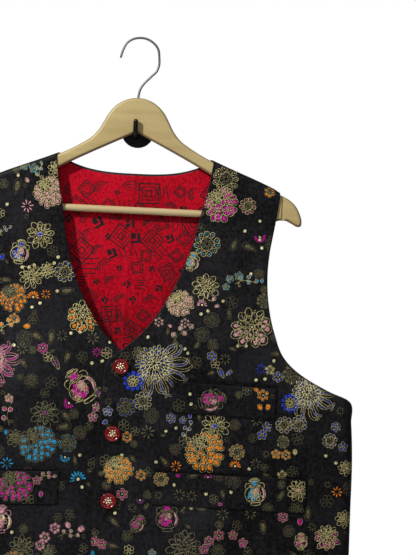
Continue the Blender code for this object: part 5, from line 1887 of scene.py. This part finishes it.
CAMERA_X = 90.7 * MM
CAMERA_Z = -164.1 * MM
CAMERA_Y = -6000.0 * MM
CAMERA_ROLL = math.radians(2.9)
VIEW_PLANE = -30.0 * MM  # Y of the plane that the picture's scale holds for
VIEW_HEIGHT = 638.25 * MM  # height of the view on that plane
AROUND_STRENGTH = 0.25  # of the light from all round
FLOOR = ((-1.6, -1.6, -1.02), (1.6, 1.2, -1.0))  # opposite corners, metres
LIGHT_COLUMNS = ("name", "place", "aim", "size", "power")  # metres and watts
LIGHTS = (
    ("key", (-1.2, -1.15, 0.95), (0.05, 0.0, -0.25), (0.13, 0.13), 40.0),
    ("fill", (0.55, -2.0, 0.95), (0.0, 0.0, -0.1), (1.2, 0.6), 5.0),
)


def make_camera():
    data = bpy.data.cameras.new("camera")
    data.sensor_width = 36.0
    data.lens = data.sensor_width * (VIEW_PLANE - CAMERA_Y) / VIEW_HEIGHT
    camera = linked("camera", data)
    camera.location = (CAMERA_X, CAMERA_Y, CAMERA_Z)
    camera.rotation_euler = (QUARTER, -CAMERA_ROLL, 0.0)
    bpy.context.scene.camera = camera


def area_light(name, place, aim, size, power):
    data = bpy.data.lights.new(name, "AREA")
    data.shape = "RECTANGLE"
    data.size, data.size_y = size
    data.energy = power
    light = linked(name, data)
    light.location = place
    light.rotation_euler = (Vector(aim) - Vector(place)).to_track_quat("-Z", "Y").to_euler()


def make_world():
    """White behind the object, and soft grey light from all round, brighter from above."""
    world = bpy.data.worlds.new("studio")
    world.use_nodes = True
    bpy.context.scene.world = world
    tree = world.node_tree
    tree.nodes.clear()
    height, _ = upward(tree, "Generated")
    tone = ramp(tree, height, (0.26, (0.05, 0.05, 0.05)), (0.62, (0.95, 0.95, 0.95)))
    around = add_node(tree, "ShaderNodeBackground", {"Color": tone, "Strength": AROUND_STRENGTH})
    white = add_node(tree, "ShaderNodeBackground", {"Color": (1.0, 1.0, 1.0, 1.0)})
    seen = add_node(tree, "ShaderNodeLightPath", {}).outputs["Is Camera Ray"]
    both = {"Fac": seen, 1: around.outputs["Background"], 2: white.outputs["Background"]}
    mix = add_node(tree, "ShaderNodeMixShader", both)
    add_node(tree, "ShaderNodeOutputWorld", {"Surface": mix.outputs["Shader"]})


def make_floor():
    material, tree, shader = new_material("pale_floor", 0.6)
    shade = noise(tree, 3.0, 2.0)
    colour_by(tree, shader, shade, (0.3, (0.78, 0.78, 0.77)), (0.7, (0.82, 0.82, 0.81)))
    from_bmesh("floor", block(*FLOOR), material)


def make_studio():
    bpy.context.scene.view_settings.view_transform = "Standard"
    make_camera()
    make_world()
    make_floor()
    for row in LIGHTS:
        area_light(**dict(zip(LIGHT_COLUMNS, row)))


def add_piece(piece, body, slot, *nodes):
    if nodes:
        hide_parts(*nodes)
    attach(piece, body)


make_studio()
fronts = {1: front_piece("front_left_cloth", 1), -1: front_piece("front_right_cloth", -1)}
back = back_piece()
lining = lining_piece()
add_piece(fronts[1], "waistcoat", "brocade", "front_left")
add_piece(fronts[-1], "waistcoat", "brocade", "front_right")
add_piece(back, "waistcoat", "back_satin", "back")
add_piece(lining, "waistcoat", "lining", "back_lining")
cloths = {"front_left": fronts[1], "front_right": fronts[-1]}
for welt in WELTS:
    cloths[welt["name"]] = welt_piece(welt)
    add_piece(cloths[welt["name"]], "waistcoat", "brocade", welt["name"])
flowers = {}
for panel, weave in weave_flowers().items():
    hidden_by = WELTS if panel.startswith("front") else ()
    flowers[panel] = lay(panel + "_flowers", weave, cloths[panel], THREADS, hidden_by)
    add_piece(flowers[panel], "waistcoat", "brocade")
print_marks = lining_print(lining)
add_piece(print_marks, "waistcoat", "lining")
# Black strips of painted shadow, in the pocket mouths and beside the over front's edge
mouth_shadows = {}
for side, panel in ((1, "front_left"), (-1, "front_right")):
    mouth_shadows[side] = lay(panel + "_painted_pocket_shadows", painted_pocket_shadows(side), fronts[side], BLACK_THREAD_AND_PAINTED_SHADOW)
holes, gap_shadow, stitches = buttonholes(fronts[1]), painted_gap_shadow(fronts[-1]), edge_stitches()
for piece in (mouth_shadows[1], mouth_shadows[-1], holes, gap_shadow, stitches):
    add_piece(piece, "waistcoat", "brocade")
for number in BUTTONS:
    add_piece(button_piece(number), "waistcoat", "button", f"button_{number}")
add_piece(hanger_piece(), "waistcoat", "hanger_wood", "hanger")
add_piece(bar_piece(), "waistcoat", "bar_wood", "trouser_bar")
add_piece(hook_piece(), "swivel_hook", "hook_wire", "hanger_hook")
add_piece(wall_hook_piece(), "waistcoat", "hook_plastic", "wall_hook")
